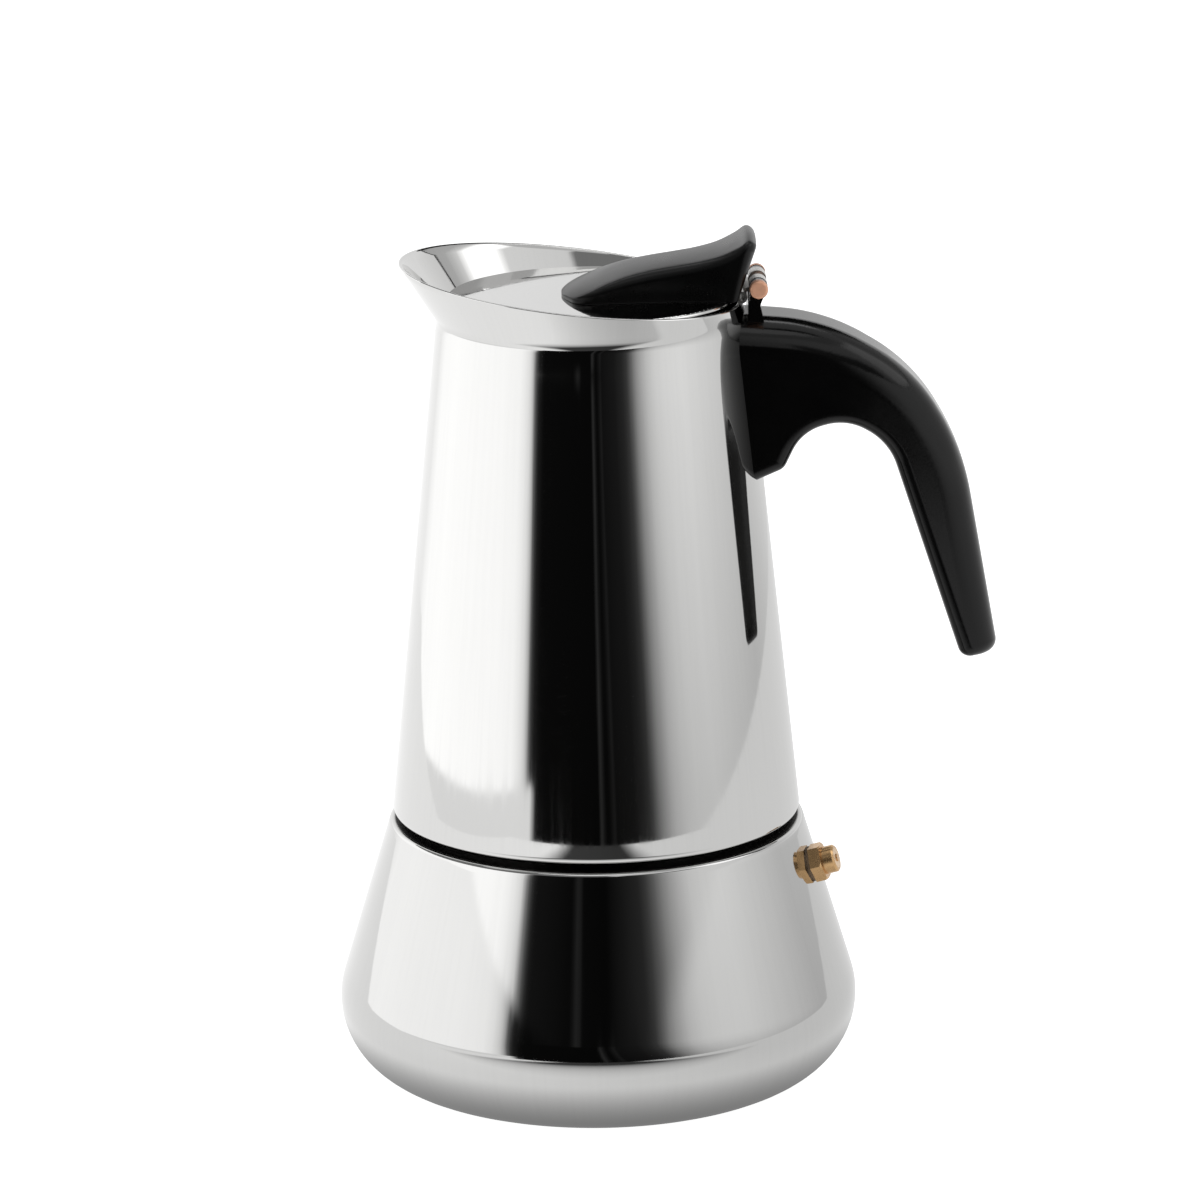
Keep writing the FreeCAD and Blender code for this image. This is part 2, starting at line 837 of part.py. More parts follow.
def handle_blank():
    """The moulded hook, before it is fitted to the collector, bracket and screw."""
    body = new_body("handle_blank")
    sketch = new_sketch(body, "XZ_Plane")
    numbers = range(len(HANDLE_OUTLINE))
    draw_outline(sketch, [(f"handle_{n}_reach", f"handle_{n}_height") for n in numbers])
    pad(body, sketch, "handle_half * 2")
    for side in (1, -1):
        taper = new_sketch(body, "XY_Plane")
        draw_outline(taper, [
            ("taper_reach", f"{side} * handle_half"),
            ("taper_end", f"{side} * tip_half"),
            ("taper_end", f"{side} * handle_half * 2"),
            ("taper_reach", f"{side} * handle_half * 2"),
        ])
        pocket(body, taper)
    crease = size("taper_reach")
    fillet(body, edges_where(body.Shape, lambda edge: edge.BoundBox.XLength < TOUCH
                             and abs(edge.CenterOfMass.x - crease) < TOUCH), "taper_round")
    for number in numbers:
        if size(f"handle_{number}_round"):
            reach = size(f"handle_{number}_reach")
            height = size(f"handle_{number}_height")
            fillet(body, edges_at(body.Shape, reach, height), f"handle_{number}_round")
    for number, rounding in ((0, "outer_round"), (numbers[-1], "inner_round")):
        reach = size(f"handle_{number}_reach")
        height = size(f"handle_{number}_height")
        fillet(body, edges_from(body.Shape, reach, height), rounding)
    fillet(body, ring_edges(body.Shape, size("tip_height")), "inner_round")
    return body


def handle_lug(body):
    """Block on the handle's root with two ears that carry the hinge pin."""
    block = new_sketch(body, "XZ_Plane")
    draw_outline(block, [
        ("lug_start", "handle_0_height - lug_sink"),
        ("lug_end + lug_toe", "handle_0_height - lug_sink"),
        ("lug_end + lug_toe", "handle_0_height - lug_slope"),
        ("lug_end", "lug_top"),
        ("lug_start", "lug_top"),
    ])
    pad(body, block, "ear_half * 2")
    ear = new_sketch(body, "XZ_Plane")
    draw_outline(ear, [
        ("pin_reach - ear_radius", "lug_top - lug_slope"),
        ("lug_end", "lug_top - lug_slope"),
        ("pin_reach + ear_radius", "pin_height"),
        ("pin_reach - ear_radius", "pin_height"),
    ])
    pad(body, ear, "ear_half * 2")
    tops = new_sketch(body, "XZ_Plane")
    draw_circle(tops, "ear_radius", "pin_reach", "pin_height")
    pad(body, tops, "ear_half * 2")
    gap = new_sketch(body, "YZ_Plane")
    draw_outline(gap, [
        ("-ear_inner", "lug_top"),
        ("ear_inner", "lug_top"),
        ("ear_inner", "lug_top + fork_depth"),
        ("-ear_inner", "lug_top + fork_depth"),
    ])
    pocket(body, gap)
    bore = new_sketch(body, "XZ_Plane")
    draw_circle(bore, "pin_radius", "pin_reach", "pin_height")
    pocket(body, bore)


def handle(form, bracket, screw):
    """Moulded handle, fitted over the bracket and against the collector's wall."""
    body = handle_blank()
    handle_lug(body)
    well = cylinder("screw_well", "handle_screw_head", "handle_screw_seat - tip_height", "tip_height")
    bind(well, "Placement.Base.x", "handle_screw_reach")
    return cut("handle", body, fuse("handle_tools", [form, bracket, screw, well]))


def hinge_pin():
    """Brass pin with a round head on the near side."""
    body = new_body("hinge_pin")
    revolve(body, [
        ("0", "-ear_half"),
        ("pin_radius", "-ear_half"),
        ("pin_radius", "ear_half"),
        ("head_radius", "ear_half"),
        ("head_radius", "ear_half + head_height"),
        ("0", "ear_half + head_height"),
    ])
    top = size("ear_half") + size("head_height")
    fillet(body, ring_edges(body.Shape, top)[-1:], "head_radius / 3")
    return across_hinge(body)


def hinge_nut():
    """Cap nut on the far end of the pin."""
    body = new_body("hinge_nut")
    revolve(body, [
        ("0", "-ear_half"),
        ("head_radius", "-ear_half"),
        ("head_radius", "-ear_half - head_height"),
        ("0", "-ear_half - head_height"),
    ])
    low = -size("ear_half") - size("head_height")
    fillet(body, ring_edges(body.Shape, low)[-1:], "head_radius / 3")
    return across_hinge(body)


def across_hinge(item):
    """Lay a piece that was turned about +Z along the hinge's axis, its top towards -Y."""
    place = Vector(size("pin_reach"), 0, size("pin_height"))
    item.Placement = FreeCAD.Placement(place, FreeCAD.Rotation(Vector(1, 0, 0), 90))
    doc.recompute()
    return item


# ---------------------------------------------------------------- lid


def lid_disc():
    """Flat stamped lid with a turned-down skirt and two screw holes."""
    body = new_body("lid_disc")
    revolve(body, [
        ("0", "lid_top"),
        ("lid_radius", "lid_top"),
        ("lid_radius", "lid_top - lid_skirt"),
        ("lid_radius - lid_sheet", "lid_top - lid_skirt"),
        ("lid_radius - lid_sheet", "lid_top - lid_sheet"),
        ("0", "lid_top - lid_sheet"),
    ])
    fillet(body, ring_edges(body.Shape, size("lid_top"))[-1:], "lid_sheet")
    for reach in ("front_screw", "rear_screw"):
        hole = new_sketch(body, "XY_Plane", "lid_top")
        draw_circle(hole, "screw_radius", reach)
        pocket(body, hole)
    return body


def lid_hinge():
    """Steel strap: flat under the knob, a rolled eye, and two knuckles round the pin."""
    body = new_body("lid_hinge")
    flat = new_sketch(body, "XZ_Plane")
    draw_outline(flat, [
        ("strap_start", "lid_top"),
        ("eye_reach", "lid_top"),
        ("eye_reach", "lid_top + strap_sheet"),
        ("strap_start", "lid_top + strap_sheet"),
    ])
    pad(body, flat, "strap_half * 2")
    eye = new_sketch(body, "XZ_Plane")
    draw_circle(eye, "eye_radius", "eye_reach", "eye_height")
    pad(body, eye, "strap_half * 2")
    riser = new_sketch(body, "XZ_Plane")
    draw_outline(riser, [
        ("eye_reach", "eye_height + riser_foot"),
        ("pin_reach", "pin_height - riser_foot"),
        ("pin_reach", "pin_height - riser_foot + riser_sheet"),
        ("eye_reach", "eye_height + riser_foot + riser_sheet"),
    ])
    pad(body, riser, "knuckle_half * 2")
    knuckle = new_sketch(body, "XZ_Plane")
    draw_circle(knuckle, "knuckle_radius", "pin_reach", "pin_height")
    pad(body, knuckle, "knuckle_half * 2")
    for radius, reach, height in (("eye_bore", "eye_reach", "eye_height"),
                                  ("knuckle_bore", "pin_reach", "pin_height")):
        bore = new_sketch(body, "XZ_Plane")
        draw_circle(bore, radius, reach, height)
        pocket(body, bore)
    gap = new_sketch(body, "XY_Plane")
    draw_outline(gap, [
        ("pin_reach - knuckle_radius", "-knuckle_gap"),
        ("pin_reach + knuckle_radius * 2", "-knuckle_gap"),
        ("pin_reach + knuckle_radius * 2", "knuckle_gap"),
        ("pin_reach - knuckle_radius", "knuckle_gap"),
    ])
    pocket(body, gap)
    for reach in ("front_screw", "rear_screw"):
        hole = new_sketch(body, "XY_Plane", "lid_top")
        draw_circle(hole, "screw_radius", reach)
        pocket(body, hole)
    return body


def knob_section(body, number):
    """One section across the knob: flat below, upright sides, round edges, a slight arch on top."""
    half, crown, round_ = (size(f"knob_{number}_{name}") for name in ("half", "crown", "round"))
    base = size("lid_top")
    arch = size("knob_arch")
    middle = Vector(0, crown - arch)
    lean = math.asin((half - round_) / (arch - round_))
    corner = middle + Vector(math.sin(lean), math.cos(lean)) * (arch - round_)
    mirrored = Vector(-corner.x, corner.y)
    shoulder = middle + Vector(math.sin(lean), math.cos(lean)) * arch
    between = Vector(math.sin(math.pi / 4 + lean / 2), math.cos(math.pi / 4 + lean / 2)) * round_
    sketch = new_sketch(body, "YZ_Plane", f"knob_{number}_reach")
    sketch.addGeometry(Part.LineSegment(Vector(-half, corner.y), Vector(-half, base)))
    sketch.addGeometry(Part.LineSegment(Vector(-half, base), Vector(half, base)))
    sketch.addGeometry(Part.LineSegment(Vector(half, base), Vector(half, corner.y)))
    sketch.addGeometry(Part.Arc(Vector(half, corner.y), corner + between, shoulder))
    sketch.addGeometry(Part.Arc(shoulder, Vector(0, crown), Vector(-shoulder.x, shoulder.y)))
    sketch.addGeometry(Part.Arc(Vector(-shoulder.x, shoulder.y), mirrored + Vector(-between.x, between.y),
                                Vector(-half, corner.y)))
    sketch.addConstraint(Sketcher.Constraint("Coincident", 0, 2, 1, 1))
    sketch.addConstraint(Sketcher.Constraint("Coincident", 1, 2, 2, 1))
    for line in (2, 3, 4, 5):
        sketch.addConstraint(Sketcher.Constraint("Tangent", line, 2, (line + 1) % 6, 1))
    for line in (0, 2):
        sketch.addConstraint(Sketcher.Constraint("Vertical", line))
    pin_point(sketch, 1, 1, f"-knob_{number}_half", "lid_top", Vector(-half, base))
    pin_point(sketch, 1, 2, f"knob_{number}_half", "lid_top", Vector(half, base))
    pin_point(sketch, 4, 3, "0", f"knob_{number}_crown - knob_arch", middle)
    for arc, formula, radius in ((3, f"knob_{number}_round", round_), (4, "knob_arch", arch),
                                 (5, f"knob_{number}_round", round_)):
        hold = sketch.addConstraint(Sketcher.Constraint("Radius", arc, radius))
        bind(sketch, f"Constraints[{hold}]", formula)
    return sketch


def knob_plan():
    """Upright block of the knob's outline from above, with a blunt nose and a rounded tail."""
    body = new_body("knob_plan")
    sketch = new_sketch(body, "XY_Plane", "lid_top - lid_sheet")
    numbers = range(len(KNOB_PLAN))
    near = [(f"plan_{number}_reach", f"-plan_{number}_half") for number in numbers]
    far = [(f"plan_{number}_reach", f"plan_{number}_half") for number in reversed(numbers)]
    draw_outline(sketch, near + far)
    pad(body, sketch, "knob_room", both_sides=False)
    for number in numbers:
        reach = size(f"plan_{number}_reach")
        fillet(body, edges_where(body.Shape, lambda edge: edge.BoundBox.XLength < TOUCH
                                 and edge.BoundBox.YLength < TOUCH
                                 and abs(edge.CenterOfMass.x - reach) < TOUCH), f"plan_{number}_round")
    return body


def lid_knob(strap, screws):
    """Moulded lever: a slightly arched wing that sweeps up to a tail over the hinge."""
    body = new_body("knob_wing")
    loft(body, "Additive", [knob_section(body, number) for number in range(len(KNOB_SECTIONS))])
    rear = new_sketch(body, "XZ_Plane")
    numbers = range(len(KNOB_REAR))
    draw_outline(rear, [(f"rear_{n}_reach", f"rear_{n}_height") for n in numbers])
    pocket(body, rear)
    blank = doc.addObject("Part::Common", "knob_blank")
    blank.Base = body
    blank.Tool = knob_plan()
    doc.recompute()
    return cut("lid_knob", blank, fuse("knob_tools", [strap, screws]))


def lid_screw(name, reach):
    body = new_body(name)
    low = "lid_top - lid_sheet"
    revolve(body, [
        ("0", f"{low} - screw_head_height"),
        ("screw_head", f"{low} - screw_head_height"),
        ("screw_head", low),
        ("screw_radius", low),
        ("screw_radius", f"{low} + screw_length"),
        ("0", f"{low} + screw_length"),
    ])
    body.Placement = FreeCAD.Placement(Vector(size(reach), 0, 0), FreeCAD.Rotation())
    doc.recompute()
    return body


def knob_screws():
    """Two screws from below, through lid and strap into the knob."""
    pair = [lid_screw("screw_front", "front_screw"), lid_screw("screw_rear", "rear_screw")]
    group = doc.addObject("Part::Compound", "knob_screws")
    group.Links = pair
    group.Label = "knob_screws"
    doc.recompute()
    return group


# ---------------------------------------------------------------- assembly


def build():
    """Make every piece; the result is the list of the document's finished objects."""
    fill_sheet()
    shell = boiler_shell()
    strap = lid_hinge()
    screws = knob_screws()
    bracket = handle_bracket()
    screw = handle_screw()
    filter_base = "neck_top + flange_sheet + gasket_height - plate_sheet"
    return [
        shell,
        boiler_neck(),
        valve_body(),
        valve_washer(),
        valve_nut(shell),
        valve_cap(),
        valve_pin(),
        valve_spring(),
        funnel_basket(),
        funnel_stem(),
        perforated_disc("funnel_plate", "basket_bore", "basket_floor + funnel_sheet", 5),
        gasket(),
        perforated_disc("filter_plate", "filter_radius", filter_base, 5),
        collector_base(),
        collector_shell(),
        chimney(),
        chimney_cap(),
        bracket,
        screw,
        handle(collector_form("collector_outside"), bracket, screw),
        hinge_pin(),
        hinge_nut(),
        lid_disc(),
        strap,
        screws,
        lid_knob(strap, screws),
    ]


def check(pieces):
    """Stop if any object of the document failed or any piece isn't a sound solid."""
    for item in doc.Objects:
        if "Invalid" in item.State or "Error" in item.State:
            raise RuntimeError(f"{item.Label} ({item.Name}) failed: {item.State}")
    for piece in pieces:
        if piece.Shape.isNull() or not piece.Shape.isValid() or not piece.Shape.Solids:
            raise RuntimeError(f"{piece.Label} isn't a sound solid")


def export(pieces):
    os.makedirs("parts", exist_ok=True)
    for piece in pieces:
        piece.Shape.exportStep(f"parts/{piece.Label}.step")
        count = len(piece.Shape.Solids)
        print(f"{piece.Label:16} solids {count}  volume {piece.Shape.Volume / 1000:8.3f} cm3")


finished = build()
check(finished)
export(finished)
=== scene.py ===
"""Looks of a steel stovetop espresso pot around its packed construction. Metres, +Z up."""
import json
import math

import bmesh
import bpy
from bpy.props import FloatProperty, FloatVectorProperty, PointerProperty
from mathutils import Matrix, Vector


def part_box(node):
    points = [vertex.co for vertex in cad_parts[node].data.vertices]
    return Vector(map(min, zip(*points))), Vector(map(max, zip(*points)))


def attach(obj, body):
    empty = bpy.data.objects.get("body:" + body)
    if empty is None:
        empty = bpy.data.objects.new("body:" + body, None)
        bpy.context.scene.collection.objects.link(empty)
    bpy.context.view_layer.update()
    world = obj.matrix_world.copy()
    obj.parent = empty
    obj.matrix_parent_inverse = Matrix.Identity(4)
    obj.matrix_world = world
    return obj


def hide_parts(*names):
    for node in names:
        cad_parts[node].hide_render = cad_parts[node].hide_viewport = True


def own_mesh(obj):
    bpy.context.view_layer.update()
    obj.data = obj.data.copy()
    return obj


bl_info = {
    "name": "Stovetop espresso pot",
    "version": (1, 0, 0),
    "blender": (4, 5, 0),
    "location": "View3D > Sidebar > Pot",
    "description": "Finishes, details, light and camera for a packed espresso pot",
    "category": "Object",
}

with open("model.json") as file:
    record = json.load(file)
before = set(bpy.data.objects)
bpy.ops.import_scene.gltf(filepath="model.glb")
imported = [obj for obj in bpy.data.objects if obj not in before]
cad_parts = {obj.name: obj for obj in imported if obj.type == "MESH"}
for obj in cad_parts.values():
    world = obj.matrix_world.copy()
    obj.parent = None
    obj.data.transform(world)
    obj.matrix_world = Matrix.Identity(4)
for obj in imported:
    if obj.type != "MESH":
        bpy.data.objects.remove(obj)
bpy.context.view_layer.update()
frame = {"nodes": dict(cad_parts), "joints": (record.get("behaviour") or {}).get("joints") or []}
NODES = frame["nodes"]

# ---- properties


def a_number(name, description, default, **kind):
    """A number on the panel; the two kinds after it carry a unit."""
    return FloatProperty(name=name, description=description, default=default, **kind)


def a_length(name, description, default):
    return a_number(name, description, default, unit="LENGTH")


def an_angle(name, description, default):
    return a_number(name, description, default, subtype="ANGLE")


def a_colour(name, description, default):
    return FloatVectorProperty(name=name, description=description, default=default, size=3,
                               subtype="COLOR")


class StageProperties(bpy.types.PropertyGroup):
    """Where the camera, the floor and the light tent stand."""
    camera_distance: a_length("Camera distance", "From the pot's axis to the lens, level", 1.2)
    camera_height: a_length("Camera height", "Of the lens above the floor", 0.4209)
    camera_pitch: an_angle("Camera pitch", "How far the camera looks down", 0.2557)
    camera_yaw: an_angle("Camera yaw", "How far the camera looks aside", 0.0011)
    camera_roll: an_angle("Camera roll", "How far the camera leans", -0.0111)
    camera_lens: a_number("Focal length", "In millimetres, for a sensor 36 mm wide", 169.34)
    tent_radius: a_length("Tent radius", "From the pot's axis to the cards", 0.59)
    tent_height: a_length("Tent height", "Of the cards above the floor", 0.43)
    tent_gap: a_length("Tent gap", "Between the cards and the ones above them", 0.01)
    top_height: a_length("Top of the tent", "Of the uppermost cards above the floor", 1.5)
    table_edge: a_length("Table edge", "From the pot's axis, on the spout's side", 0.43)
    left_lean: an_angle("Card lean, spout side", "Turn from its foot to its head", math.radians(1.4))
    right_lean: an_angle("Card lean, handle side", "Turn from its foot to its head", math.radians(5.5))
    card_seam: a_length("Card seam", "Height at which the upper row of cards begins", 0.157)
    floor_radius: a_length("Floor radius", "Half the width of the pale floor", 6.0)
    floor_colour: a_colour("Floor colour", "Of the pale floor", (0.86, 0.86, 0.86))
    floor_glow: a_number("Floor glow", "Light that it gives off itself", 0.93)
    # Painted shade: the mirrored floor is dimmer on the handle's side than on the spout's.
    floor_left: a_number("Mirrored floor, spout side", "Its brightness in the steel", 1.1)
    floor_right: a_number("Mirrored floor, handle side", "Its brightness in the steel", 0.84)
    sky_light: a_number("Sky light", "Of the even light from all round", 0.5)
    sky_mirror: a_number("Mirrored sky", "Its brightness in the steel", 0.015)
    box_width: a_length("Soft box width", "Of the box above the far side", 1.6)
    box_near: a_length("Soft box near edge", "Behind the pot's axis", 0.40)
    box_depth: a_length("Soft box far edge", "Behind the pot's axis", 0.8)
    box_height: a_length("Soft box height", "Above the floor", 1.0)
    box_glow: a_number("Soft box glow", "Brightness of the box in the steel", 2.6)
    dim_glow: a_number("Dim box", "Brightness of the card before the soft box", 0.75)
    roof_glow: a_number("Roof", "Brightness of the card high in front", 1.3)
    tent_foot: a_length("Tent foot", "Of the cards below the floor", 0.2)
    roof_left: a_length("Roof, spout side", "Reach from the pot's axis", 0.5)
    roof_right: a_length("Roof, handle side", "Reach from the pot's axis", 0.6)
    roof_front: a_length("Roof, near edge", "In front of the pot's axis", 0.6)
    roof_back: a_length("Roof, far edge", "In front of the pot's axis", 0.15)


class FinishProperties(bpy.types.PropertyGroup):
    """Colours and gloss of the pot's materials."""
    steel_colour: a_colour("Steel", "Of the polished steel", (0.662, 0.66, 0.652))
    steel_roughness: a_number("Steel roughness", "Of the mirror polish", 0.035)
    boiler_tone: a_number("Boiler tone", "Colour of its steel against the collector's", 0.87)
    satin_colour: a_colour("Satin steel", "Of the plain steel inside", (0.56, 0.55, 0.53))
    satin_roughness: a_number("Satin roughness", "Of the plain steel inside", 0.26)
    plastic_colour: a_colour("Plastic", "Of the moulded handle and knob", (0.0016, 0.0016, 0.0016))
    handle_roughness: a_number("Handle roughness", "Of the moulded handle", 0.11)
    knob_roughness: a_number("Knob roughness", "Of the moulded knob", 0.27)
    brass_colour: a_colour("Valve brass", "Of the safety valve", (0.64, 0.40, 0.19))
    cap_colour: a_colour("Cap brass", "Of the valve's end cap", (0.86, 0.62, 0.40))
    copper_colour: a_colour("Pin brass", "Of the hinge pin", (0.78, 0.42, 0.27))
    rubber_colour: a_colour("Seal", "Of the sealing ring", (0.62, 0.60, 0.55))
    fibre_colour: a_colour("Fibre washer", "Of the valve's washer", (0.15, 0.095, 0.05))
    streak_length: a_length("Polish mark length", "Along the cone", 0.045)
    streak_width: a_length("Polish mark width", "Across the cone", 0.0011)
    grain_size: a_length("Plastic grain", "Size of the mould's grain", 0.00035)
    turning_pitch: a_length("Turning marks", "Pitch of the lathe's marks", 0.00022)
    handle_gloss: a_number("Handle gloss", "Strength of its reflections", 0.30)
    knob_gloss: a_number("Knob gloss", "Strength of its reflections", 0.22)
    # Painted shade: a near-black colour that stands for the shade in the gap of the seam, on the
    # unpolished steel there.
    painted_shade_colour: a_colour("Seam shade", "Of the unpolished steel at the seam", (0.012, 0.011, 0.010))


class ShellProperties(bpy.types.PropertyGroup):
    """Sizes of the two steel shells, their threads, and the valve's hole and spring."""
    cone_slope: a_number("Boiler slope", "Run of its wall for each unit of rise", 0.305)
    seam_radius: a_length("Seam radius", "Of the collector's foot", 0.04506)
    seam_height: a_length("Seam height", "Of the collector's foot", 0.06067)
    foot_round: a_length("Boiler bulge", "Round between floor and wall", 0.0173)
    foot_sheet: a_length("Boiler floor", "Its thickness", 0.0016)
    boiler_wall: a_length("Boiler wall", "Its thickness, level", 0.00105)
    shoulder_height: a_length("Shoulder height", "Of the boiler's flat shoulder", 0.0585)
    shoulder_sheet: a_length("Shoulder thickness", "Of the boiler's flat shoulder", 0.001)
    shoulder_round: a_length("Shoulder round", "Of the boiler's upper edge", 0.0011)
    neck_radius: a_length("Neck radius", "Of the hole for the threaded neck", 0.0374)
    collector_slope: a_number("Collector slope", "Run of its wall for each unit of rise", 0.10377)
    crease_radius: a_length("Crease radius", "Where the flare begins", 0.03362)
    crease_height: a_length("Crease height", "Where the flare begins", 0.17092)
    crease_blend: a_length("Crease blend", "Reach of the soft bend on either side", 0.0013)
    sheet: a_length("Collector sheet", "Its thickness", 0.0009)
    rim_radius: a_length("Rim radius", "Of the tilted rim", 0.0375)
    rim_shift: a_length("Rim shift", "Of the rim's centre towards the spout", 0.0045)
    rim_height: a_length("Rim height", "Of the rim's centre", 0.17899)
    rim_tilt: an_angle("Rim tilt", "Upwards to the spout", math.radians(6.9))
    rim_round: a_length("Rim round", "Reach of the rim's rounded edge", 0.00045)
    hem_drop: a_length("Hem drop", "Of the rolled foot below the seam", 0.0008)
    hem_round: a_length("Hem round", "Of the collector's rolled foot", 0.0016)
    hem_turn: a_length("Hem turn", "How far the rolled foot turns in", 0.0024)
    valve_height: a_length("Valve height", "Of the hole in the boiler's wall", 0.0493)
    valve_azimuth: an_angle("Valve direction", "From the handle to the near side", math.radians(12.4))
    valve_hole: a_length("Valve hole", "Radius, in the boiler's wall", 0.003)
    spring_radius: a_length("Spring radius", "To the middle of the wire", 0.0016)
    spring_wire: a_length("Spring wire", "Radius of the wire", 0.00025)
    spring_turns: a_number("Spring turns", "From end to end", 6.0)
    thread_pitch: a_length("Thread pitch", "Rise of the neck's thread in one turn", 0.0018)


# ---- node helpers


def new_material(name, kind="BsdfPrincipled", **inputs):
    """A material with one shader joined to its output; returns the material, its tree and the shader."""
    material = bpy.data.materials.new(name)
    material.use_nodes = True
    tree = material.node_tree
    tree.nodes.clear()
    shader = add_node(tree, kind, **inputs)
    output = add_node(tree, "OutputMaterial")
    tree.links.new(shader.outputs[0], output.inputs["Surface"])
    return material, tree, shader


def add_node(tree, kind, settings=None, **inputs):
    """Add a node, set its settings, and feed its inputs from numbers or from other sockets."""
    node = tree.nodes.new("ShaderNode" + kind)
    for name, value in (settings or {}).items():
        setattr(node, name, value)
    for name, value in inputs.items():
        feed(tree, node.inputs[name.replace("_", " ")], value)
    return node


def feed(tree, socket, value):
    if isinstance(value, bpy.types.NodeSocket):
        tree.links.new(value, socket)
    else:
        socket.default_value = value


def math_node(tree, operation, *values):
    node = add_node(tree, "Math", {"operation": operation})
    for socket, value in zip(node.inputs, values):
        feed(tree, socket, value)
    return node.outputs[0]


def vector_node(tree, operation, vector):
    node = add_node(tree, "VectorMath", {"operation": operation})
    tree.links.new(vector, node.inputs[0])
    return node


def times(tree, first, second):
    return math_node(tree, "MULTIPLY", first, second)


def times_plus(tree, value, factor, more):
    return math_node(tree, "MULTIPLY_ADD", value, factor, more)


def mix_value(tree, share, first, second):
    node = add_node(tree, "Mix", {"data_type": "FLOAT"})
    for socket, value in zip((node.inputs[0], node.inputs[2], node.inputs[3]), (share, first, second)):
        feed(tree, socket, value)
    return node.outputs[0]


def smooth_step(tree, value, low, high, start=0.0, end=1.0, kind="SMOOTHSTEP"):
    """A soft change between two levels, held beyond its ends."""
    node = add_node(tree, "MapRange", {"interpolation_type": kind}, Value=value, From_Min=low,
                    From_Max=high, To_Min=start, To_Max=end)
    return node.outputs[0]


def smooth_line(tree, value, low, high, start=0.0, end=1.0):
    """A straight ramp between two levels, held beyond its ends."""
    return smooth_step(tree, value, low, high, start, end, "LINEAR")


def past(tree, first, second, blend):
    """1 where the first value is past the second, with a soft edge."""
    return smooth_step(tree, math_node(tree, "SUBTRACT", first, second), -blend, blend)


# ---- shared effects


def effect_group(name, numbers, outputs):
    """A node group given a place and named numbers; returns it, what it is given and its results."""
    group = bpy.data.node_groups.new(name, "ShaderNodeTree")
    group.interface.new_socket("Place", in_out="INPUT", socket_type="NodeSocketVector")
    for title, value in numbers.items():
        socket = group.interface.new_socket(title, in_out="INPUT", socket_type="NodeSocketFloat")
        socket.default_value = value
    for title in outputs:
        group.interface.new_socket(title, in_out="OUTPUT", socket_type="NodeSocketFloat")
    given = group.nodes.new("NodeGroupInput").outputs
    result = group.nodes.new("NodeGroupOutput").inputs
    return group, given, result


def use_effect(tree, name, **inputs):
    """Place a shared effect with its own values; it is built when it is first asked for."""
    node = tree.nodes.new("ShaderNodeGroup")
    node.node_tree = bpy.data.node_groups.get(name) or EFFECTS[name]()
    for title, value in inputs.items():
        feed(tree, node.inputs[title.replace("_", " ")], value)
    return node.outputs


def level_reach(tree, place):
    """Distance of a point from the upright axis, and the point's three coordinates."""
    parts = add_node(tree, "SeparateXYZ", Vector=place).outputs
    flat = add_node(tree, "CombineXYZ", X=parts["X"], Y=parts["Y"])
    return vector_node(tree, "LENGTH", flat.outputs[0]).outputs["Value"], parts


def noise(tree, place, detail, roughness):
    node = add_node(tree, "TexNoise", Vector=place, Scale=1.0, Detail=detail, Roughness=roughness)
    return node.outputs["Fac"]


def polish_streaks():
    """Long fine marks of the polishing belt, up and down a cone; wide ones bend what it mirrors."""
    group, given, result = effect_group("polish_streaks", {"Length": 0.05, "Width": 0.001},
                                        ["Streak", "Height"])
    reach, parts = level_reach(group, given["Place"])
    across = math_node(group, "DIVIDE", 0.045, times(group, reach, given["Width"]))
    along = math_node(group, "DIVIDE", parts["Z"], given["Length"])
    place = add_node(group, "CombineXYZ", X=times(group, parts["X"], across),
                     Y=times(group, parts["Y"], across), Z=along).outputs[0]
    fine = noise(group, place, 3.0, 0.65)
    wide = vector_node(group, "MULTIPLY", place)
    wide.inputs[1].default_value = (0.22, 0.22, 0.6)
    bend = noise(group, wide.outputs[0], 1.5, 0.5)
    group.links.new(smooth_step(group, fine, 0.35, 0.72), result["Streak"])
    group.links.new(times_plus(group, fine, 0.12, bend), result["Height"])
    return group


def turning_marks():
    """Rings round an axis, as a lathe or a polishing mop leaves them."""
    group, given, result = effect_group("turning_marks", {"Pitch": 0.0003}, ["Ring", "Height"])
    reach, parts = level_reach(group, given["Place"])
    place = add_node(group, "CombineXYZ", X=math_node(group, "DIVIDE", reach, given["Pitch"]),
                     Z=math_node(group, "DIVIDE", parts["Z"], given["Pitch"])).outputs[0]
    ring = noise(group, place, 2.0, 0.6)
    group.links.new(smooth_step(group, ring, 0.3, 0.7), result["Ring"])
    group.links.new(ring, result["Height"])
    return group


def fine_mottle():
    """Soft patches and small specks, for tarnish, handling marks and moulded grain."""
    group, given, result = effect_group("fine_mottle", {"Patch size": 0.01, "Grain size": 0.0004},
                                        ["Patch", "Grain"])
    for title, size, detail in (("Patch", "Patch size", 3.0), ("Grain", "Grain size", 1.0)):
        scaled = vector_node(group, "SCALE", given["Place"])
        group.links.new(math_node(group, "DIVIDE", 1.0, given[size]), scaled.inputs["Scale"])
        group.links.new(noise(group, scaled.outputs[0], detail, 0.55), result[title])
    return group


def seam_shade():
    """Unpolished steel in the gap of the seam, between two heights, inside a radius: the mask of its
    painted shade.
    """
    group, given, result = effect_group("seam_shade", {"Low": 0.0, "High": 0.01, "Reach": 0.04},
                                        ["Shade"])
    reach, parts = level_reach(group, given["Place"])
    inside = past(group, given["Reach"], reach, 0.0003)
    above = past(group, parts["Z"], given["Low"], 0.0002)
    below = past(group, given["High"], parts["Z"], 0.0002)
    group.links.new(times(group, inside, times(group, above, below)), result["Shade"])
    return group


EFFECTS = {make.__name__: make for make in (polish_streaks, turning_marks, fine_mottle, seam_shade)}

# ---- materials


def piece_place(tree):
    """Coordinates that move with the piece."""
    return add_node(tree, "TexCoord").outputs["Object"]


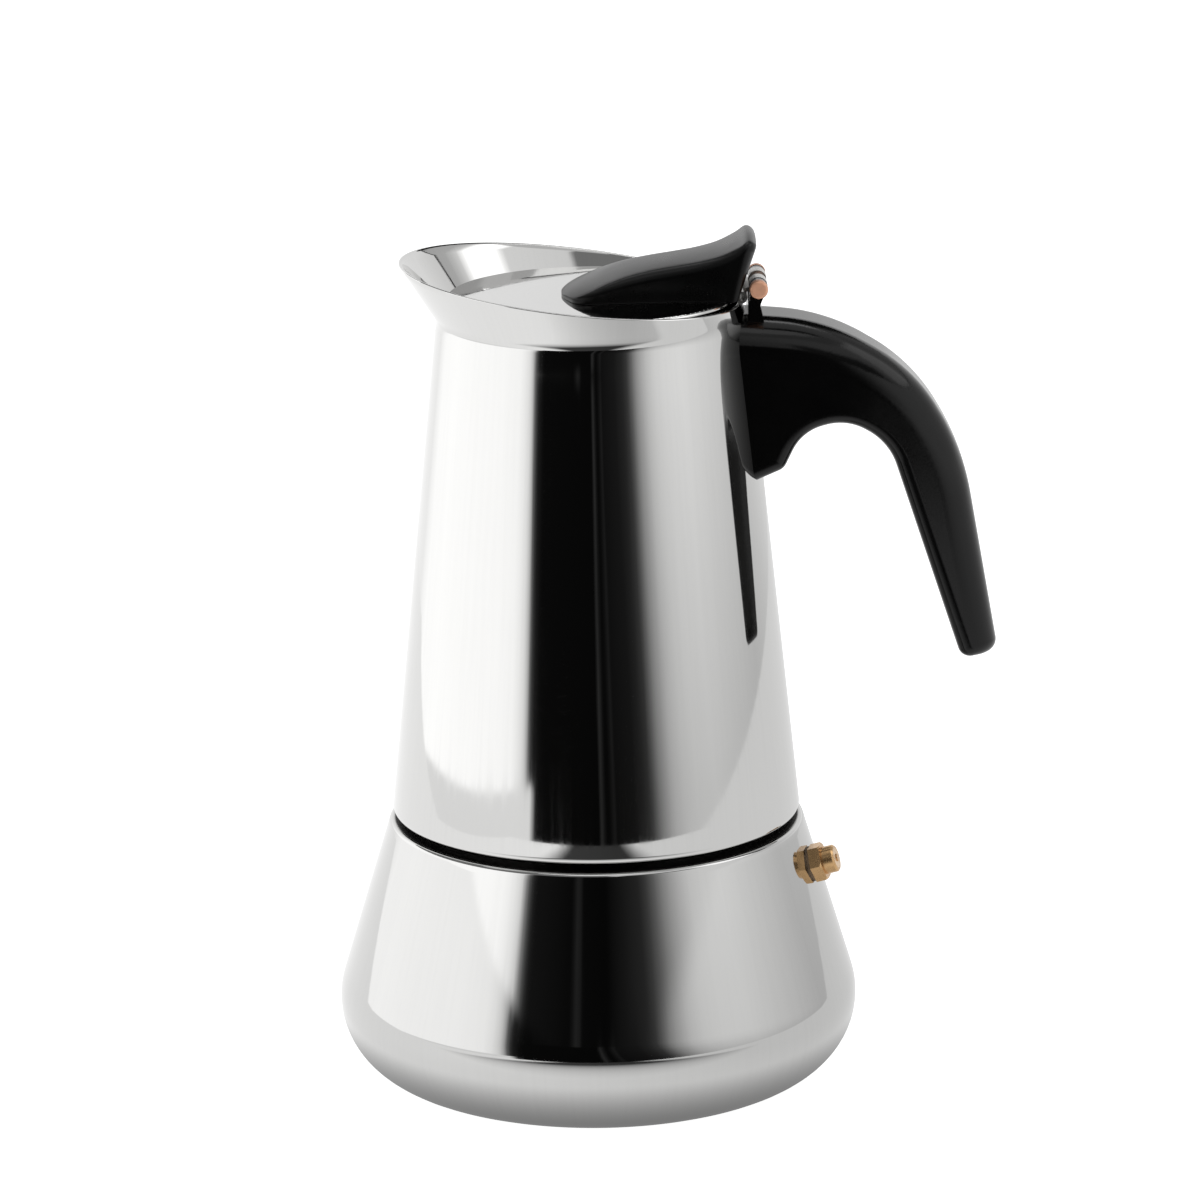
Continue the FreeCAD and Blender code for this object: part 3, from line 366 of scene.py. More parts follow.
def turned_place(tree, centre, axis):
    """The piece's coordinates seen from a centre, with the given axis upright."""
    node = add_node(tree, "Mapping", {"vector_type": "TEXTURE"}, Vector=piece_place(tree))
    node.inputs["Location"].default_value = centre
    node.inputs["Rotation"].default_value = Vector(axis).to_track_quat("Z", "Y").to_euler()
    return node.outputs[0]


def blend_colour(tree, share, first, second):
    """Colour between two, by a value that varies over the surface; each is a colour or a socket."""
    node = add_node(tree, "Mix", {"data_type": "RGBA"})
    feed(tree, node.inputs[0], share)
    for socket, value in ((node.inputs[6], first), (node.inputs[7], second)):
        feed(tree, socket, value if isinstance(value, bpy.types.NodeSocket) else (*value, 1))
    return node.outputs[2]


def two_shades(tree, share, colour, *factors):
    """One colour in two strengths, blended by a value."""
    return blend_colour(tree, share, *(scaled_colour(colour, factor) for factor in factors))


def scaled_colour(colour, factor):
    return tuple(min(1.0, part * factor) for part in colour)


def join_surface(tree, shader, tone, rough, height, relief):
    """Join a material's colour, roughness and relief to its shader."""
    bump = add_node(tree, "Bump", Height=height, Distance=relief)
    for name, socket in (("Base Color", tone), ("Roughness", rough), ("Normal", bump.outputs[0])):
        tree.links.new(socket, shader.inputs[name])


def mirror_steel(name, marks="polish_streaks", painted_shade=None, relief=0.000012, brightness=1.0):
    """Polished sheet steel. The optional band gives two heights and a reach for its unpolished inner edge
    at the seam, which is rougher and carries painted shade as its colour.
    """
    finish = bpy.context.scene.pot_finish
    steel = scaled_colour(finish.steel_colour, brightness)
    polish = finish.steel_roughness
    material, tree, shader = new_material(name, Metallic=1.0)
    place = piece_place(tree)
    if marks == "polish_streaks":
        sizes = {"Length": finish.streak_length, "Width": finish.streak_width}
    else:
        sizes = {"Pitch": finish.turning_pitch * 3}
    fine, height = use_effect(tree, marks, Place=place, **sizes)
    patch, _ = use_effect(tree, "fine_mottle", Place=place, Patch_size=0.018)
    share = times_plus(tree, patch, 0.65, times(tree, fine, 0.3))
    tone = two_shades(tree, share, steel, 1.02, 0.975)
    rough = times_plus(tree, fine, polish, polish * 0.6)
    rough = times_plus(tree, patch, polish * 0.5, rough)
    # Painted shade in the gap of the seam: the band's colour goes near black, and its roughness is that
    # of unpolished steel.
    if painted_shade:
        low, high, reach = painted_shade
        mask = use_effect(tree, "seam_shade", Place=place, Low=low, High=high, Reach=reach)[0]
        tone = blend_colour(tree, mask, tone, finish.painted_shade_colour)
        rough = mix_value(tree, mask, rough, 0.55)
    join_surface(tree, shader, tone, rough, height, relief)
    return material


def satin_steel():
    """Plain steel inside the pot: drawn, wiped and a little stained."""
    finish = bpy.context.scene.pot_finish
    material, tree, shader = new_material("satin_steel", Metallic=1.0)
    place = piece_place(tree)
    ring, height = use_effect(tree, "turning_marks", Place=place, Pitch=finish.turning_pitch)
    patch, grain = use_effect(tree, "fine_mottle", Place=place, Patch_size=0.012, Grain_size=0.0003)
    tone = two_shades(tree, patch, finish.satin_colour, 1.12, 0.84)
    rough = times_plus(tree, ring, 0.10, finish.satin_roughness - 0.04)
    join_surface(tree, shader, tone, times_plus(tree, grain, 0.08, rough), height, 0.000012)
    return material


def moulded_plastic(name, roughness, gloss):
    """Black moulded plastic with the mould's fine grain and duller patches from handling."""
    finish = bpy.context.scene.pot_finish
    material, tree, shader = new_material(name, Specular_IOR_Level=gloss)
    patch, grain = use_effect(tree, "fine_mottle", Place=piece_place(tree), Patch_size=0.009,
                              Grain_size=finish.grain_size)
    tone = two_shades(tree, patch, finish.plastic_colour, 0.7, 1.6)
    rough = times_plus(tree, patch, 0.08, roughness - 0.04)
    join_surface(tree, shader, tone, times_plus(tree, grain, 0.04, rough), grain, 0.000008)
    return material


def turned_brass(name, colour, centre, axis, metallic, roughness):
    """Turned brass with lathe marks round its own axis and a dull film in patches."""
    finish = bpy.context.scene.pot_finish
    material, tree, shader = new_material(name)
    place = turned_place(tree, centre, axis)
    ring, height = use_effect(tree, "turning_marks", Place=place, Pitch=finish.turning_pitch)
    patch, _ = use_effect(tree, "fine_mottle", Place=place, Patch_size=0.0016, Grain_size=0.0003)
    tone = two_shades(tree, patch, colour, 1.18, 0.74)
    rough = times_plus(tree, ring, 0.12, roughness - 0.06)
    tree.links.new(times_plus(tree, patch, -0.3, metallic + 0.15), shader.inputs["Metallic"])
    join_surface(tree, shader, tone, rough, height, 0.000004)
    return material


def soft_seal(name, colour):
    """Sealing rubber or fibre with a fine tooth and slight staining."""
    material, tree, shader = new_material(name)
    patch, grain = use_effect(tree, "fine_mottle", Place=piece_place(tree), Patch_size=0.006,
                              Grain_size=0.00025)
    tone = two_shades(tree, patch, colour, 1.15, 0.80)
    join_surface(tree, shader, tone, times_plus(tree, grain, 0.15, 0.5), grain, 0.00002)
    return material


# ---- stage

# Cards of the tent: angle from the camera's side towards the handle, in degrees, and brightness.
LOW_CARDS = [
    (-180, 1.12), (-140, 1.14), (-134, 1.3), (-128, 1.42), (-110, 1.48), (-62, 1.42),
    (-49, 1.36), (-45, 1.22), (-42.2, 1.05), (-39.9, 0.76), (-38.1, 0.17), (-36.2, 0.02), (-32, 0.004),
    (2.2, 0.003), (3.3, 0.05), (4.4, 0.003), (8.3, 0.004), (9.2, 0.03), (10.2, 0.006), (21, 0.01),
    (26, 0.02), (30, 0.045), (33, 0.137), (36, 0.28), (40, 0.44), (44, 0.6), (50, 0.73), (57, 0.8),
    (70, 0.85), (98, 0.76), (112, 0.71), (150, 0.88),
]
HIGH_CARDS = [
    (-180, 0.88), (-164, 1.1), (-150, 1.3), (-136, 1.6), (-60, 1.64), (-49, 1.56), (-44, 1.4),
    (-40.7, 1.2), (-39.2, 1.02), (-37.6, 0.56), (-36.3, 0.24), (-34.6, 0.06), (-32, 0.01), (-12, 0.004),
    (-9.4, 0.026), (-7, 0.004), (4, 0.003), (12, 0.012), (21, 0.026), (25, 0.06), (29, 0.15), (33, 0.3),
    (37, 0.47), (43, 0.68), (49, 0.87), (55, 0.93), (64, 0.97), (83, 0.92), (100, 0.78), (115, 0.74),
    (150, 0.95), (174, 0.88),
]
TOP_CARDS = [
    (0, 0.22), (6, 0.23), (12, 0.85), (70, 0.92), (78, 1.7), (103, 1.7), (110, 0.85), (120, 0.55),
    (140, 0.50), (150, 0.0),
]

# Where one card gives way to the next: shares of the way round the pot, and heights in metres.
HANDLE_SIDE = (0.48, 0.54)
LEAN_RISE = (0.02, 0.16)
LOW_CARD_LIFT = (0.0, 0.16, 0.87, 1.24)
SEAM_BLEND = 0.004
SEAM_BLEND_HANDLE = 0.02
TABLE_EDGE_RISE = (0.175, 0.397, -0.024, 0.026)
TABLE_EDGE_BLEND = 0.002
TABLE_END = (0.408, 0.396)
TABLE_LEVEL = 0.9
HIGH_BAND = (0.95, 1.05)
HIGH_BAND_SIDE = (0.42, 0.44)
HIGH_BAND_LEVEL = 0.62
BESIDE_START = (0.53, 0.55)
BESIDE_END = (0.69, 0.65)
BESIDE_RISE = (0.56, 0.68, 0.12, 1.0)
# Mirrored floor: distances from the pot's axis, some with the brightness at both ends.
# Painted shade: the mirrored floor dims from the spout's side across to the handle's.
FLOOR_ACROSS = (-0.12, 0.12)
# Painted contact shadow: the mirrored floor darkens towards the pot's foot.
FLOOR_CONTACT_SHADOW = (0.044, 0.076, 0.27, 1.0)
FLOOR_FRONT = (-0.25, -0.09, 0.05, 1.0)
FLOOR_BESIDE = (0.10, 0.22)
FLOOR_DROP = 0.0001
TENT_SIDES = 180
FLOOR_SIDES = 96


def card_ramp(tree, share, cards, peak):
    """Brightness of a row of cards by their angle round the pot."""
    ramp = add_node(tree, "ValToRGB", Fac=share)
    bar = ramp.color_ramp
    bar.elements.remove(bar.elements[-1])
    for number, (degrees, level) in enumerate(cards):
        stop = bar.elements[0] if number == 0 else bar.elements.new(0.5 + degrees / 360)
        stop.position = 0.5 + degrees / 360
        stop.color = (level / peak,) * 3 + (1,)
    return ramp.outputs["Color"]


def stage_place(tree):
    """Place of a point on the stage, and its three coordinates."""
    place = add_node(tree, "NewGeometry").outputs["Position"]
    return place, add_node(tree, "SeparateXYZ", Vector=place).outputs


def angle_share(tree):
    """Where round the pot a point lies, from 0 at the far side to 1, and its height."""
    _, parts = stage_place(tree)
    angle = math_node(tree, "ARCTAN2", parts["X"], times(tree, parts["Y"], -1.0))
    return times_plus(tree, angle, 0.5 / math.pi, 0.5), parts["Z"]


def tent_glow(stage):
    """Glow of the cards: it follows the angle round the pot, with one row of cards over the other."""
    material, tree, glow = new_material("tent_cards", "Emission")
    share, rise = angle_share(tree)
    handle_side = smooth_step(tree, share, *HANDLE_SIDE)
    turn = mix_value(tree, handle_side, stage.left_lean / (2 * math.pi), stage.right_lean / (2 * math.pi))
    leaning = math_node(tree, "ADD", share, times(tree, turn, smooth_line(tree, rise, *LEAN_RISE)))
    peak = max(level for _, level in LOW_CARDS + HIGH_CARDS)
    low = card_ramp(tree, leaning, LOW_CARDS, peak)
    lift = mix_value(tree, handle_side, 1.0, smooth_line(tree, rise, *LOW_CARD_LIFT))
    table = table_mask(tree, share, rise)
    low = mix_value(tree, table, times(tree, low, lift), stage.floor_left * TABLE_LEVEL / peak)
    high = card_ramp(tree, share, HIGH_CARDS, peak)
    seam = stage.card_seam
    seam_end = mix_value(tree, handle_side, seam + SEAM_BLEND, seam + SEAM_BLEND_HANDLE)
    upper = smooth_step(tree, rise, seam - SEAM_BLEND, seam_end)
    level = mix_value(tree, upper, low, high)
    feed(tree, glow.inputs["Strength"], times(tree, level, peak))
    return material


def table_mask(tree, share, rise):
    """The table's far corner on the spout side, which the lowest cards stand behind."""
    edge = smooth_line(tree, share, *TABLE_EDGE_RISE)
    return times(tree, past(tree, edge, rise, TABLE_EDGE_BLEND), smooth_step(tree, share, *TABLE_END))


def top_glow():
    """Cards over the handle's side: bright beside the pot, dim towards the far side."""
    material, tree, glow = new_material("top_cards", "Emission")
    share, rise = angle_share(tree)
    peak = max(level for _, level in TOP_CARDS)
    level = card_ramp(tree, share, TOP_CARDS, peak)
    high = times(tree, smooth_step(tree, rise, *HIGH_BAND), smooth_step(tree, share, *HIGH_BAND_SIDE))
    level = mix_value(tree, high, level, HIGH_BAND_LEVEL / peak)
    beside = times(tree, smooth_step(tree, share, *BESIDE_START), smooth_step(tree, share, *BESIDE_END))
    level = times(tree, level, mix_value(tree, beside, 1.0, smooth_step(tree, rise, *BESIDE_RISE)))
    feed(tree, glow.inputs["Strength"], times(tree, level, peak))
    return material


def mirror_floor_glow(stage):
    """Floor as the pot mirrors it: painted contact shadow under the foot, dim in front, and painted shade
    on the handle's side, so brighter towards the spout.
    """
    material, tree, glow = new_material("mirror_floor", "Emission")
    place, parts = stage_place(tree)
    reach = vector_node(tree, "LENGTH", place).outputs["Value"]
    across = smooth_step(tree, parts["X"], *FLOOR_ACROSS, stage.floor_left, stage.floor_right)
    contact_shadow = smooth_step(tree, reach, *FLOOR_CONTACT_SHADOW)
    beside = smooth_step(tree, math_node(tree, "ABSOLUTE", parts["X"]), *FLOOR_BESIDE)
    front = math_node(tree, "MAXIMUM", smooth_line(tree, parts["Y"], *FLOOR_FRONT), beside)
    level = times(tree, times(tree, across, contact_shadow), front)
    feed(tree, glow.inputs["Strength"], level)
    return material


def stage_piece(name, points, faces, material, *hidden_from):
    """Object of the stage, hidden from the named kinds of ray."""
    mesh = bpy.data.meshes.new(name)
    mesh.from_pydata(points, [], faces)
    mesh.materials.append(material)
    piece = bpy.data.objects.new(name, mesh)
    bpy.context.collection.objects.link(piece)
    for ray in hidden_from:
        setattr(piece, "visible_" + ray, False)
    return piece


def card(name, points, faces, material):
    """A card shows in mirror reflections alone, so it neither hides the pot nor shades it."""
    return stage_piece(name, points, faces, material, "camera", "diffuse", "shadow", "transmission")


def level_card(name, left, right, near, far, height, glow):
    """A level four-cornered card, of a given brightness or material."""
    if isinstance(glow, float):
        glow, _, _ = new_material(name, "Emission", Strength=glow)
    corners = [(left, near, height), (right, near, height), (right, far, height), (left, far, height)]
    return card(name, corners, [list(range(4))], glow)


def tent_wall(name, radius, low, high, material):
    """Upright ring of cards round the pot."""
    count = TENT_SIDES
    sides = [(n, (n + 1) % count, count + (n + 1) % count, count + n) for n in range(count)]
    return card(name, circle(radius, low, count) + circle(radius, high, count), sides, material)


class POT_OT_stage(bpy.types.Operator):
    """Set up the floor, the light tent and the camera"""
    bl_idname = "pot.stage"
    bl_label = "Stage"

    def execute(self, context):
        stage = context.scene.pot_stage
        pale, _, _ = new_material("pale_floor", Base_Color=(*stage.floor_colour, 1), Roughness=0.9,
                                  Specular_IOR_Level=0.0, Emission_Color=(1, 1, 1, 1),
                                  Emission_Strength=stage.floor_glow)
        floor = stage_piece("floor", circle(stage.floor_radius, 0, FLOOR_SIDES),
                            [list(range(FLOOR_SIDES))], pale, "glossy")
        side = stage.floor_radius / 2
        mirror_floor = level_card("mirror_floor", -stage.table_edge, side, -side, side, -FLOOR_DROP,
                                  mirror_floor_glow(stage))
        tent = tent_wall("tent", stage.tent_radius, -stage.tent_foot, stage.tent_height, tent_glow(stage))
        top_tent = tent_wall("top_tent", stage.tent_radius, stage.tent_height + stage.tent_gap,
                             stage.top_height, top_glow())
        width, height, near = stage.box_width / 2, stage.box_height, stage.box_near
        top_box = level_card("top_box", -width, width, near, stage.box_depth, height, stage.box_glow)
        fill = level_card("dim_box", -width, width, 0.0, near, height, stage.dim_glow)
        roof = level_card("roof", -stage.roof_left, stage.roof_right, -stage.roof_front,
                          -stage.roof_back, stage.top_height, stage.roof_glow)
        self.light(context, stage)
        self.camera(context, stage)
        return {"FINISHED"}

    def light(self, context, stage):
        """White sky for the camera and matt surfaces; mirrors see the cards and almost no sky."""
        world = bpy.data.worlds.new("soft_sky")
        world.use_nodes = True
        tree = world.node_tree
        background = tree.nodes["Background"]
        background.inputs["Color"].default_value = (1, 1, 1, 1)
        ray = add_node(tree, "LightPath").outputs
        level = mix_value(tree, ray["Is Glossy Ray"], stage.sky_light, stage.sky_mirror)
        level = mix_value(tree, ray["Is Camera Ray"], level, 1.0)
        tree.links.new(level, background.inputs["Strength"])
        context.scene.world = world
        context.scene.view_settings.view_transform = "Standard"

    def camera(self, context, stage):
        lens = bpy.data.cameras.new("camera")
        lens.sensor_width = 36
        lens.lens = stage.camera_lens
        lens.clip_start = 0.05
        camera = bpy.data.objects.new("camera", lens)
        turn = Matrix.Rotation(-stage.camera_yaw, 4, "Z")
        turn @= Matrix.Rotation(math.pi / 2 - stage.camera_pitch, 4, "X")
        turn @= Matrix.Rotation(stage.camera_roll, 4, "Z")
        place = Matrix.Translation((0, -stage.camera_distance, stage.camera_height))
        camera.matrix_world = place @ turn
        context.collection.objects.link(camera)
        context.scene.camera = camera


# ---- shells

SHELL_SIDES = 224
HOLE_SIDES = 40
HOLE_REACH = 0.004
SMOOTH_EDGE = math.radians(32)
BEND_STEPS = 8
FLARE_STEPS = 6
# The boiler's band of painted seam shade: its start below the shoulder, its top and its reach from the
# axis.
PAINTED_SHADE_DROP = 0.0006
PAINTED_SHADE_TOP = 0.0597
PAINTED_SHADE_REACH = 0.0447
# The collector's band of painted seam shade: its top above the seam, and its distance inside the seam's
# radius.
SEAM_SHADE_RISE = 0.0008
SEAM_SHADE_INSET = 0.0012
# Threads: the ridge's height, and where each thread begins and ends.
RIDGE = 0.00018
NECK_THREAD = (0.0605, 0.0664)
COLLAR_THREAD = (0.0628, 0.0673)
COLLAR_RADIUS = 0.0378


def turned_point(reach, turn, height):
    return Vector((reach * math.cos(turn), reach * math.sin(turn), height))


def circle(radius, height, count=SHELL_SIDES):
    """Ring of points round the pot's axis, from the handle's side towards the back."""
    return [turned_point(radius, 2 * math.pi * number / count, height) for number in range(count)]


def arc(reach, height, radius, start, end, steps):
    """Points (reach, height) along an arc of a profile, between two angles in degrees."""
    angles = [math.radians(start + (end - start) * step / steps) for step in range(steps + 1)]
    return [(reach + radius * math.cos(angle), height + radius * math.sin(angle)) for angle in angles]


def straight(first, last, steps):
    """Points between two points of a profile, without its ends."""
    return [tuple(a + (b - a) * step / steps for a, b in zip(first, last)) for step in range(1, steps)]


def bend(first, corner, last, share):
    """Point on a soft bend round a corner."""
    return first * (1 - share) ** 2 + corner * (2 * share * (1 - share)) + last * share ** 2


def skin(name, rings, closed):
    """Mesh object from rings of points; closed joins the last ring to the first, else both ends close."""
    mesh = bpy.data.meshes.new(name)
    points, starts = [], []
    for ring in rings:
        starts.append((len(points), len(ring)))
        points.extend(ring)
    faces = []
    pairs = list(zip(starts, starts[1:]))
    if closed:
        pairs.append((starts[-1], starts[0]))
    for (low, low_count), (high, high_count) in pairs:
        count = max(low_count, high_count)
        for n in range(count):
            after = (n + 1) % count
            corners = [low + n % low_count, low + after % low_count, high + after % high_count,
                       high + n % high_count]
            faces.append(list(dict.fromkeys(corners)))
    if not closed:
        for start, count in (starts[0], starts[-1]):
            if count > 2:
                faces.append(list(range(start, start + count)))
    mesh.from_pydata(points, [], faces)
    return mesh_piece(name, mesh)


def mesh_piece(name, mesh):
    """Object of a closed mesh whose faces look outwards, smooth except at true edges."""
    form = bmesh.new()
    form.from_mesh(mesh)
    bmesh.ops.recalc_face_normals(form, faces=form.faces)
    if form.calc_volume() < 0:
        bmesh.ops.reverse_faces(form, faces=form.faces)
    for face in form.faces:
        face.smooth = True
    for edge in form.edges:
        edge.smooth = not (len(edge.link_faces) == 2 and edge.calc_face_angle() > SMOOTH_EDGE)
    form.to_mesh(mesh)
    form.free()
    mesh.update()
    piece = bpy.data.objects.new(name, mesh)
    bpy.context.collection.objects.link(piece)
    return piece


def wear(piece, material):
    piece.data.materials.clear()
    piece.data.materials.append(material)


def place_piece(piece, body, slot, material, *replaced):
    """Fix a finished piece to its body, with its material and the nodes it stands for, which it hides;
    its slot is not used.
    """
    wear(piece, material)
    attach(piece, body)
    if replaced:
        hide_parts(*replaced)
    return piece


def cut_hole(piece, centre, axis, radius):
    """Bore a round hole through the piece's wall."""
    turn = Vector(axis).to_track_quat("Z", "Y")
    rings = [[turn @ point + centre for point in circle(radius, height, HOLE_SIDES)]
             for height in (-HOLE_REACH, HOLE_REACH)]
    cutter = skin("hole_cutter", rings, False)
    tool = piece.modifiers.new("hole", "BOOLEAN")
    tool.operation = "DIFFERENCE"
    tool.solver = "EXACT"
    tool.object = cutter
    graph = bpy.context.evaluated_depsgraph_get()
    cut_mesh = bpy.data.meshes.new_from_object(piece.evaluated_get(graph))
    name = piece.name
    bpy.data.objects.remove(piece)
    bpy.data.objects.remove(cutter)
    return mesh_piece(name, cut_mesh)


def round_centre(slope, face, height, radius):
    """Reach of the centre of a round that touches a sloping wall, which stands at face on the floor."""
    return face - slope * height - radius * math.hypot(1, slope)


def boiler_profile(shell):
    """Boiler's wall in section: under the floor, up the outside, over the shoulder, down the inside."""
    run = shell.cone_slope
    slope = math.degrees(math.atan(run))
    outside = shell.seam_radius + shell.seam_height * run
    inside = outside - shell.boiler_wall
    bulge = shell.foot_round
    inner = bulge - shell.foot_sheet
    top, low = shell.shoulder_height, shell.shoulder_height - shell.shoulder_sheet
    edge = shell.shoulder_round
    foot_centre = round_centre(run, outside, bulge, bulge)
    foot = arc(foot_centre, bulge, bulge, -90, slope, 22)
    shoulder_centre = round_centre(run, outside, top - edge, edge)
    shoulder = arc(shoulder_centre, top - edge, edge, slope, 90, 8)
    wall = straight(foot[-1], shoulder[0], 36)
    corner = (inside - run * low, low)
    inner_centre = round_centre(run, inside, bulge, inner)
    inner_foot = arc(inner_centre, bulge, inner, slope, -90, 14)
    under = [(0.0, 0.0)] + straight((0.0, 0.0), foot[0], 6)
    flat = straight(shoulder[-1], (shell.neck_radius, top), 3) + [(shell.neck_radius, top)]
    flat += [(shell.neck_radius, low), corner]
    back = straight(corner, inner_foot[0], 36) + inner_foot
    return under + foot + wall + shoulder + flat + back + [(0.0, shell.foot_sheet)]


def profile_rings(profile):
    return [circle(reach, height) if reach > 0 else [Vector((0, 0, height))] for reach, height in profile]


def collector_rings(shell):
    """Rings of the collector: rolled foot, cone, soft crease, flare, rounded rim, and back inside."""
    run = shell.collector_slope
    slope = math.degrees(math.atan(run))
    foot = shell.seam_height - shell.hem_drop
    face = shell.crease_radius + shell.crease_height * run
    edge = shell.hem_round
    lip = shell.seam_radius - shell.hem_turn
    centre = round_centre(run, face, foot + edge, edge)
    hem = [(lip, foot)] + arc(centre, foot + edge, edge, -90, slope, 12)
    outer = flare_rings(shell, 0.0)
    inner = flare_rings(shell, shell.sheet)
    head = (shell.crease_radius + run * shell.crease_blend, shell.crease_height - shell.crease_blend)
    cone = straight(hem[-1], head, 24)
    inner_head = (head[0] - shell.sheet, head[1])
    inner_foot = (face - run * (foot + shell.sheet) - shell.sheet, foot + shell.sheet)
    lining = straight(inner_head, inner_foot, 12) + [inner_foot, (lip, foot + shell.sheet)]
    rim = rim_rings(outer, inner, shell.rim_round)
    return profile_rings(hem + cone) + outer[:-1] + rim + inner[-2::-1] + profile_rings(lining)


def flare_rings(shell, inset):
    """Rings of one face of the flare, from below the soft crease to the tilted rim."""
    tilt = Matrix.Rotation(shell.rim_tilt, 3, "Y")
    middle = Vector((-shell.rim_shift, 0, shell.rim_height))
    rim = [tilt @ point + middle for point in circle(shell.rim_radius - inset, 0)]
    crease = circle(shell.crease_radius - inset, shell.crease_height)
    reach = shell.crease_blend
    low = circle(shell.crease_radius - inset + shell.collector_slope * reach, shell.crease_height - reach)
    rings = [[bend(a, b, b + (c - b).normalized() * reach, step / BEND_STEPS)
              for a, b, c in zip(low, crease, rim)] for step in range(BEND_STEPS + 1)]
    return rings + [[a.lerp(c, step / FLARE_STEPS) for a, c in zip(rings[-1], rim)]
                    for step in range(1, FLARE_STEPS + 1)]


def rim_rings(outer, inner, reach):
    """Rounded edge between the outer and the inner face of the flare."""
    rings = []
    for step in range(BEND_STEPS + 1):
        share = step / BEND_STEPS
        ring = []
        for a, b, c, d in zip(outer[-2], outer[-1], inner[-1], inner[-2]):
            start = b + (a - b).normalized() * reach
            end = c + (d - c).normalized() * reach
            first, last = bend(start, b, (b + c) / 2, share), bend((b + c) / 2, c, end, share)
            ring.append(first.lerp(last, share))
        rings.append(ring)
    return rings


def helix_ridge(name, radius, height, low, high, pitch):
    """Thread ridge wound round the axis; a negative height stands inwards. It fades out at its ends."""
    steps = 96
    count = int((high - low) / pitch * steps)
    rings = []
    for number in range(count + 1):
        turn = 2 * math.pi * number / steps
        rise = low + pitch * number / steps
        fade = min(1.0, number / 12, (count - number) / 12)
        tip = radius + height * max(fade, 0.02)
        root = radius - height * 0.4
        profile = [(root, -0.32), (tip, -0.07), (tip, 0.07), (root, 0.32)]
        rings.append([turned_point(reach, turn, rise + share * pitch) for reach, share in profile])
    return skin(name, rings, False)


def coil_rings(shell, length):
    """Sections of round wire wound round the Z axis, from its foot to a length."""
    wire = shell.spring_wire
    steps = 32
    count = round(shell.spring_turns * steps)
    rings = []
    for number in range(count + 1):
        turn = 2 * math.pi * number / steps
        rise = wire + (length - 2 * wire) * number / count
        section = arc(shell.spring_radius, rise, wire, 0, 324, 9)
        rings.append([turned_point(reach, turn, height) for reach, height in section])
    return rings


def valve_direction(shell, reach, rise):
    """Point or direction in the upright plane of the safety valve."""
    return Matrix.Rotation(-shell.valve_azimuth, 3, "Z") @ Vector((reach, 0, rise))


class POT_OT_boiler(bpy.types.Operator):
    """Make the boiler's polished shell and the thread on its neck"""
    bl_idname = "pot.boiler"
    bl_label = "Boiler"

    def execute(self, context):
        shell = context.scene.pot_shell
        piece = skin("boiler_steel", profile_rings(boiler_profile(shell)), False)
        face = shell.seam_radius + (shell.seam_height - shell.valve_height) * shell.cone_slope
        piece = cut_hole(piece, valve_direction(shell, face, shell.valve_height),
                         valve_direction(shell, 1, shell.cone_slope), shell.valve_hole)
        # Painted shade of the seam gap on the shoulder's flat ring.
        painted_shade = (shell.shoulder_height - PAINTED_SHADE_DROP, PAINTED_SHADE_TOP, PAINTED_SHADE_REACH)
        steel = mirror_steel("boiler_steel", painted_shade=painted_shade, brightness=context.scene.pot_finish.boiler_tone)
        place_piece(piece, "boiler", "polished_steel", steel, "boiler_shell")
        thread = helix_ridge("neck_thread", shell.neck_radius, RIDGE, *NECK_THREAD, shell.thread_pitch)
        place_piece(thread, "boiler", "plain_steel", bpy.data.materials["satin_steel"])
        return {"FINISHED"}


class POT_OT_collector(bpy.types.Operator):
    """Make the collector's polished shell and the thread in its collar"""
    bl_idname = "pot.collector"
    bl_label = "Collector"

    def execute(self, context):
        shell = context.scene.pot_shell
        piece = skin("collector_steel", collector_rings(shell), True)
        # Painted shade of the seam gap on the rolled foot's underside and inside.
        painted_shade = (0.0, shell.seam_height + SEAM_SHADE_RISE, shell.seam_radius - SEAM_SHADE_INSET)
        steel = mirror_steel("collector_steel", painted_shade=painted_shade)
        place_piece(piece, "collector", "polished_steel", steel, "collector_shell")
        thread = helix_ridge("collar_thread", COLLAR_RADIUS, -RIDGE, *COLLAR_THREAD, shell.thread_pitch)
        place_piece(thread, "collector", "plain_steel", bpy.data.materials["satin_steel"])
        return {"FINISHED"}


# ---- finishes


def finish_nodes(material, *names):
    for name in names:
        wear(NODES[name], material)


def node_middle(name):
    low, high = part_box(name)
    return (Vector(low) + Vector(high)) / 2


# Knob from nose to tail, in mm: reach of its underside, reach and height of its crown, half width,
# round of its upper edges, radius of its arch, and the underside's height where it leaves the seat.
KNOB_SEAT = 175.8
KNOB_STATIONS = [
    (-6.3, -6.3, 176.3, 1.7, 0.12, 55), (-6.2, -6.2, 176.45, 2.7, 0.15, 55),
    (-5.9, -5.9, 176.65, 4.1, 0.2, 55), (-5.4, -5.4, 176.95, 5.8, 0.25, 57),
    (-4.6, -4.6, 177.35, 8.1, 0.35, 60), (-3.6, -3.6, 177.8, 10.4, 0.55, 65),
    (-2.2, -2.2, 178.4, 11.8, 0.8, 72), (0.0, 0.0, 179.25, 12.35, 1.2, 84),
    (2.0, 2.0, 180.0, 12.2, 1.6, 96), (4.5, 4.4, 180.8, 12.0, 1.9, 110),
    (8.0, 8.0, 181.85, 11.5, 2.2, 120), (13.0, 13.0, 182.9, 10.9, 2.4, 120),
    (18.0, 18.0, 183.7, 10.7, 2.4, 120), (22.0, 22.8, 184.5, 10.8, 2.4, 120),
    (26.0, 27.6, 185.75, 11.1, 2.4, 120), (29.2, 31.6, 187.65, 11.5, 2.4, 120),
    (30.8, 33.6, 189.0, 11.5, 2.2, 120), (31.6, 34.8, 189.0, 10.9, 2.0, 120, 175.9),
    (31.95, 35.7, 188.2, 9.6, 1.6, 120, 176.3), (32.2, 35.85, 187.5, 8.0, 1.2, 120, 176.9),
]


